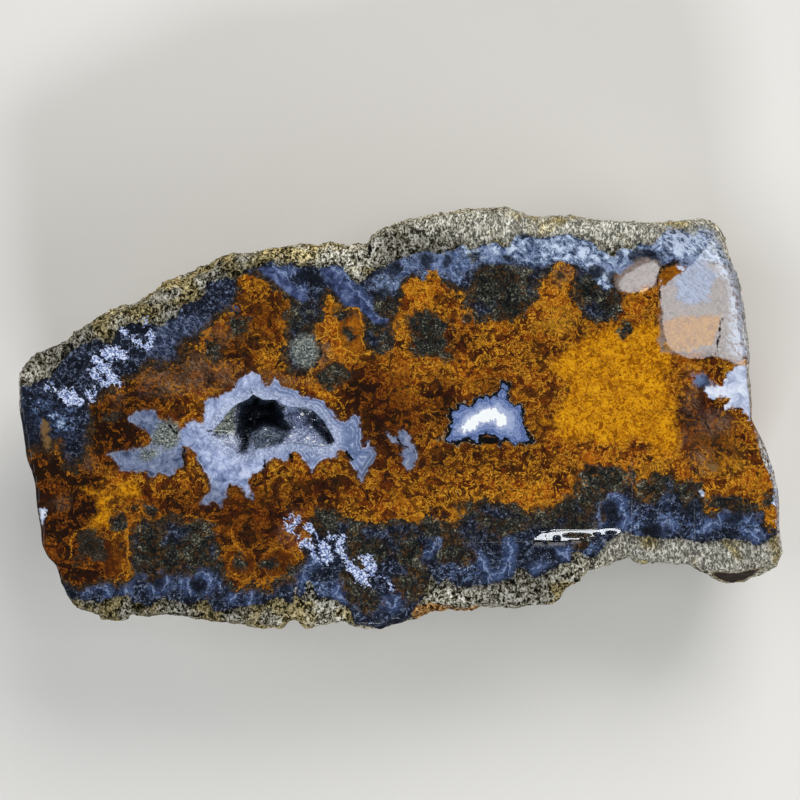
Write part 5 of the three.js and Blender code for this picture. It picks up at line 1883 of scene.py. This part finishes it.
def add_light(name, place, target, width, height, power, color):
    """A soft rectangular light at a place, turned to a target."""
    lamp = bpy.data.lights.new(name, "AREA")
    lamp.shape = "RECTANGLE"
    lamp.size = width
    lamp.size_y = height
    lamp.energy = power
    lamp.color = color
    light = bpy.data.objects.new(name, lamp)
    bpy.context.scene.collection.objects.link(light)
    light.location = place
    light.rotation_euler = (Vector(target) - Vector(place)).to_track_quat("-Z", "Y").to_euler()
    return light


def add_mirrored_panel(name, camera, corners, power):
    """A small bright panel which the wet face mirrors to the camera between two corners, in pixels."""
    face = FACE_HEIGHT * MM
    share = (camera.z - face + PANEL_HEIGHT) / (camera.z - face)
    (left, top), (right, bottom) = (in_frame(*corner) for corner in corners)
    middle = Vector(((left + right) / 2 * MM, (top + bottom) / 2 * MM, face))
    across = camera + (middle - camera) * share
    place = Vector((across.x, across.y, face + PANEL_HEIGHT))
    below = Vector((place.x, place.y, 0))
    width, height = (right - left) * MM * share, (top - bottom) * MM * share
    return add_light(name, place, below, width, height, power, PANEL_COLOR)


def add_floor(settings):
    """The floor that the stone lies on."""
    bpy.ops.mesh.primitive_plane_add(size=FLOOR_SIDE, location=(0, 0, 0))
    floor = bpy.context.object
    floor.name = "pale_floor"
    floor.data.materials.append(floor_material(settings))


def add_room(scene):
    """A faint even light from all round, and plain colours."""
    world = bpy.data.worlds.new("soft_room")
    world.use_nodes = True
    background = world.node_tree.nodes["Background"]
    background.inputs["Color"].default_value = (1, 1, 1, 1)
    background.inputs["Strength"].default_value = ROOM_LIGHT
    scene.world = world
    scene.view_settings.view_transform = "Standard"
    scene.view_settings.look = "None"


def add_camera(scene, settings):
    """A camera that looks straight down on the sawn face."""
    lens = bpy.data.cameras.new("face_camera")
    span = IMAGE_SIDE * MM_PER_PIXEL * MM
    lens.lens = lens.sensor_width * settings.camera_height / span
    lens.clip_start = NEAR_CLIP
    lens.clip_end = FAR_CLIP
    camera = bpy.data.objects.new("face_camera", lens)
    scene.collection.objects.link(camera)
    x, y = in_frame(IMAGE_SIDE / 2, IMAGE_SIDE / 2)
    camera.location = (x * MM, y * MM, FACE_HEIGHT * MM + settings.camera_height)
    scene.camera = camera
    return camera


class OBJECT_OT_agate_stage(bpy.types.Operator):
    """Sets the floor, the lights and the camera"""

    bl_idname = "object.agate_stage"
    bl_label = "Stage"

    def execute(self, context):
        settings = context.scene.agate_stage
        scene = context.scene
        add_floor(settings)
        for name, place, width, height, power, color in LIGHTS:
            add_light(name, place, (0, 0, FACE_HEIGHT * MM), width, height, power, color)
        add_room(scene)
        camera = add_camera(scene, settings)
        for name, corners, power in MIRRORED_PANELS:
            add_mirrored_panel(name, camera.location, corners, power)
        return {"FINISHED"}


class VIEW3D_PT_agate(bpy.types.Panel):
    """Lists what the add-on builds"""

    bl_label = "Agate"
    bl_idname = "VIEW3D_PT_agate"
    bl_space_type = "VIEW_3D"
    bl_region_type = "UI"
    bl_category = "Agate"

    def draw(self, context):
        for settings in (context.scene.agate, context.scene.agate_crystals, context.scene.agate_stage):
            for name in settings.bl_rna.properties.keys():
                if name not in ("rna_type", "name"):
                    self.layout.prop(settings, name)
        for operator in (OBJECT_OT_agate_stage, OBJECT_OT_agate_block, OBJECT_OT_agate_crystals):
            self.layout.operator(operator.bl_idname)


CLASSES = (
    AgateSettings,
    CrystalSettings,
    StageSettings,
    OBJECT_OT_agate_block,
    OBJECT_OT_agate_crystals,
    OBJECT_OT_agate_stage,
    VIEW3D_PT_agate,
)


def register():
    for cls in CLASSES:
        bpy.utils.register_class(cls)
    bpy.types.Scene.agate = PointerProperty(type=AgateSettings)
    bpy.types.Scene.agate_crystals = PointerProperty(type=CrystalSettings)
    bpy.types.Scene.agate_stage = PointerProperty(type=StageSettings)


def unregister():
    del bpy.types.Scene.agate
    del bpy.types.Scene.agate_crystals
    del bpy.types.Scene.agate_stage
    for cls in reversed(CLASSES):
        bpy.utils.unregister_class(cls)


def main():
    register()
    bpy.ops.object.agate_stage()
    bpy.ops.object.agate_block()
    bpy.ops.object.agate_crystals()
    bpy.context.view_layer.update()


if __name__ == "__main__":
    main()
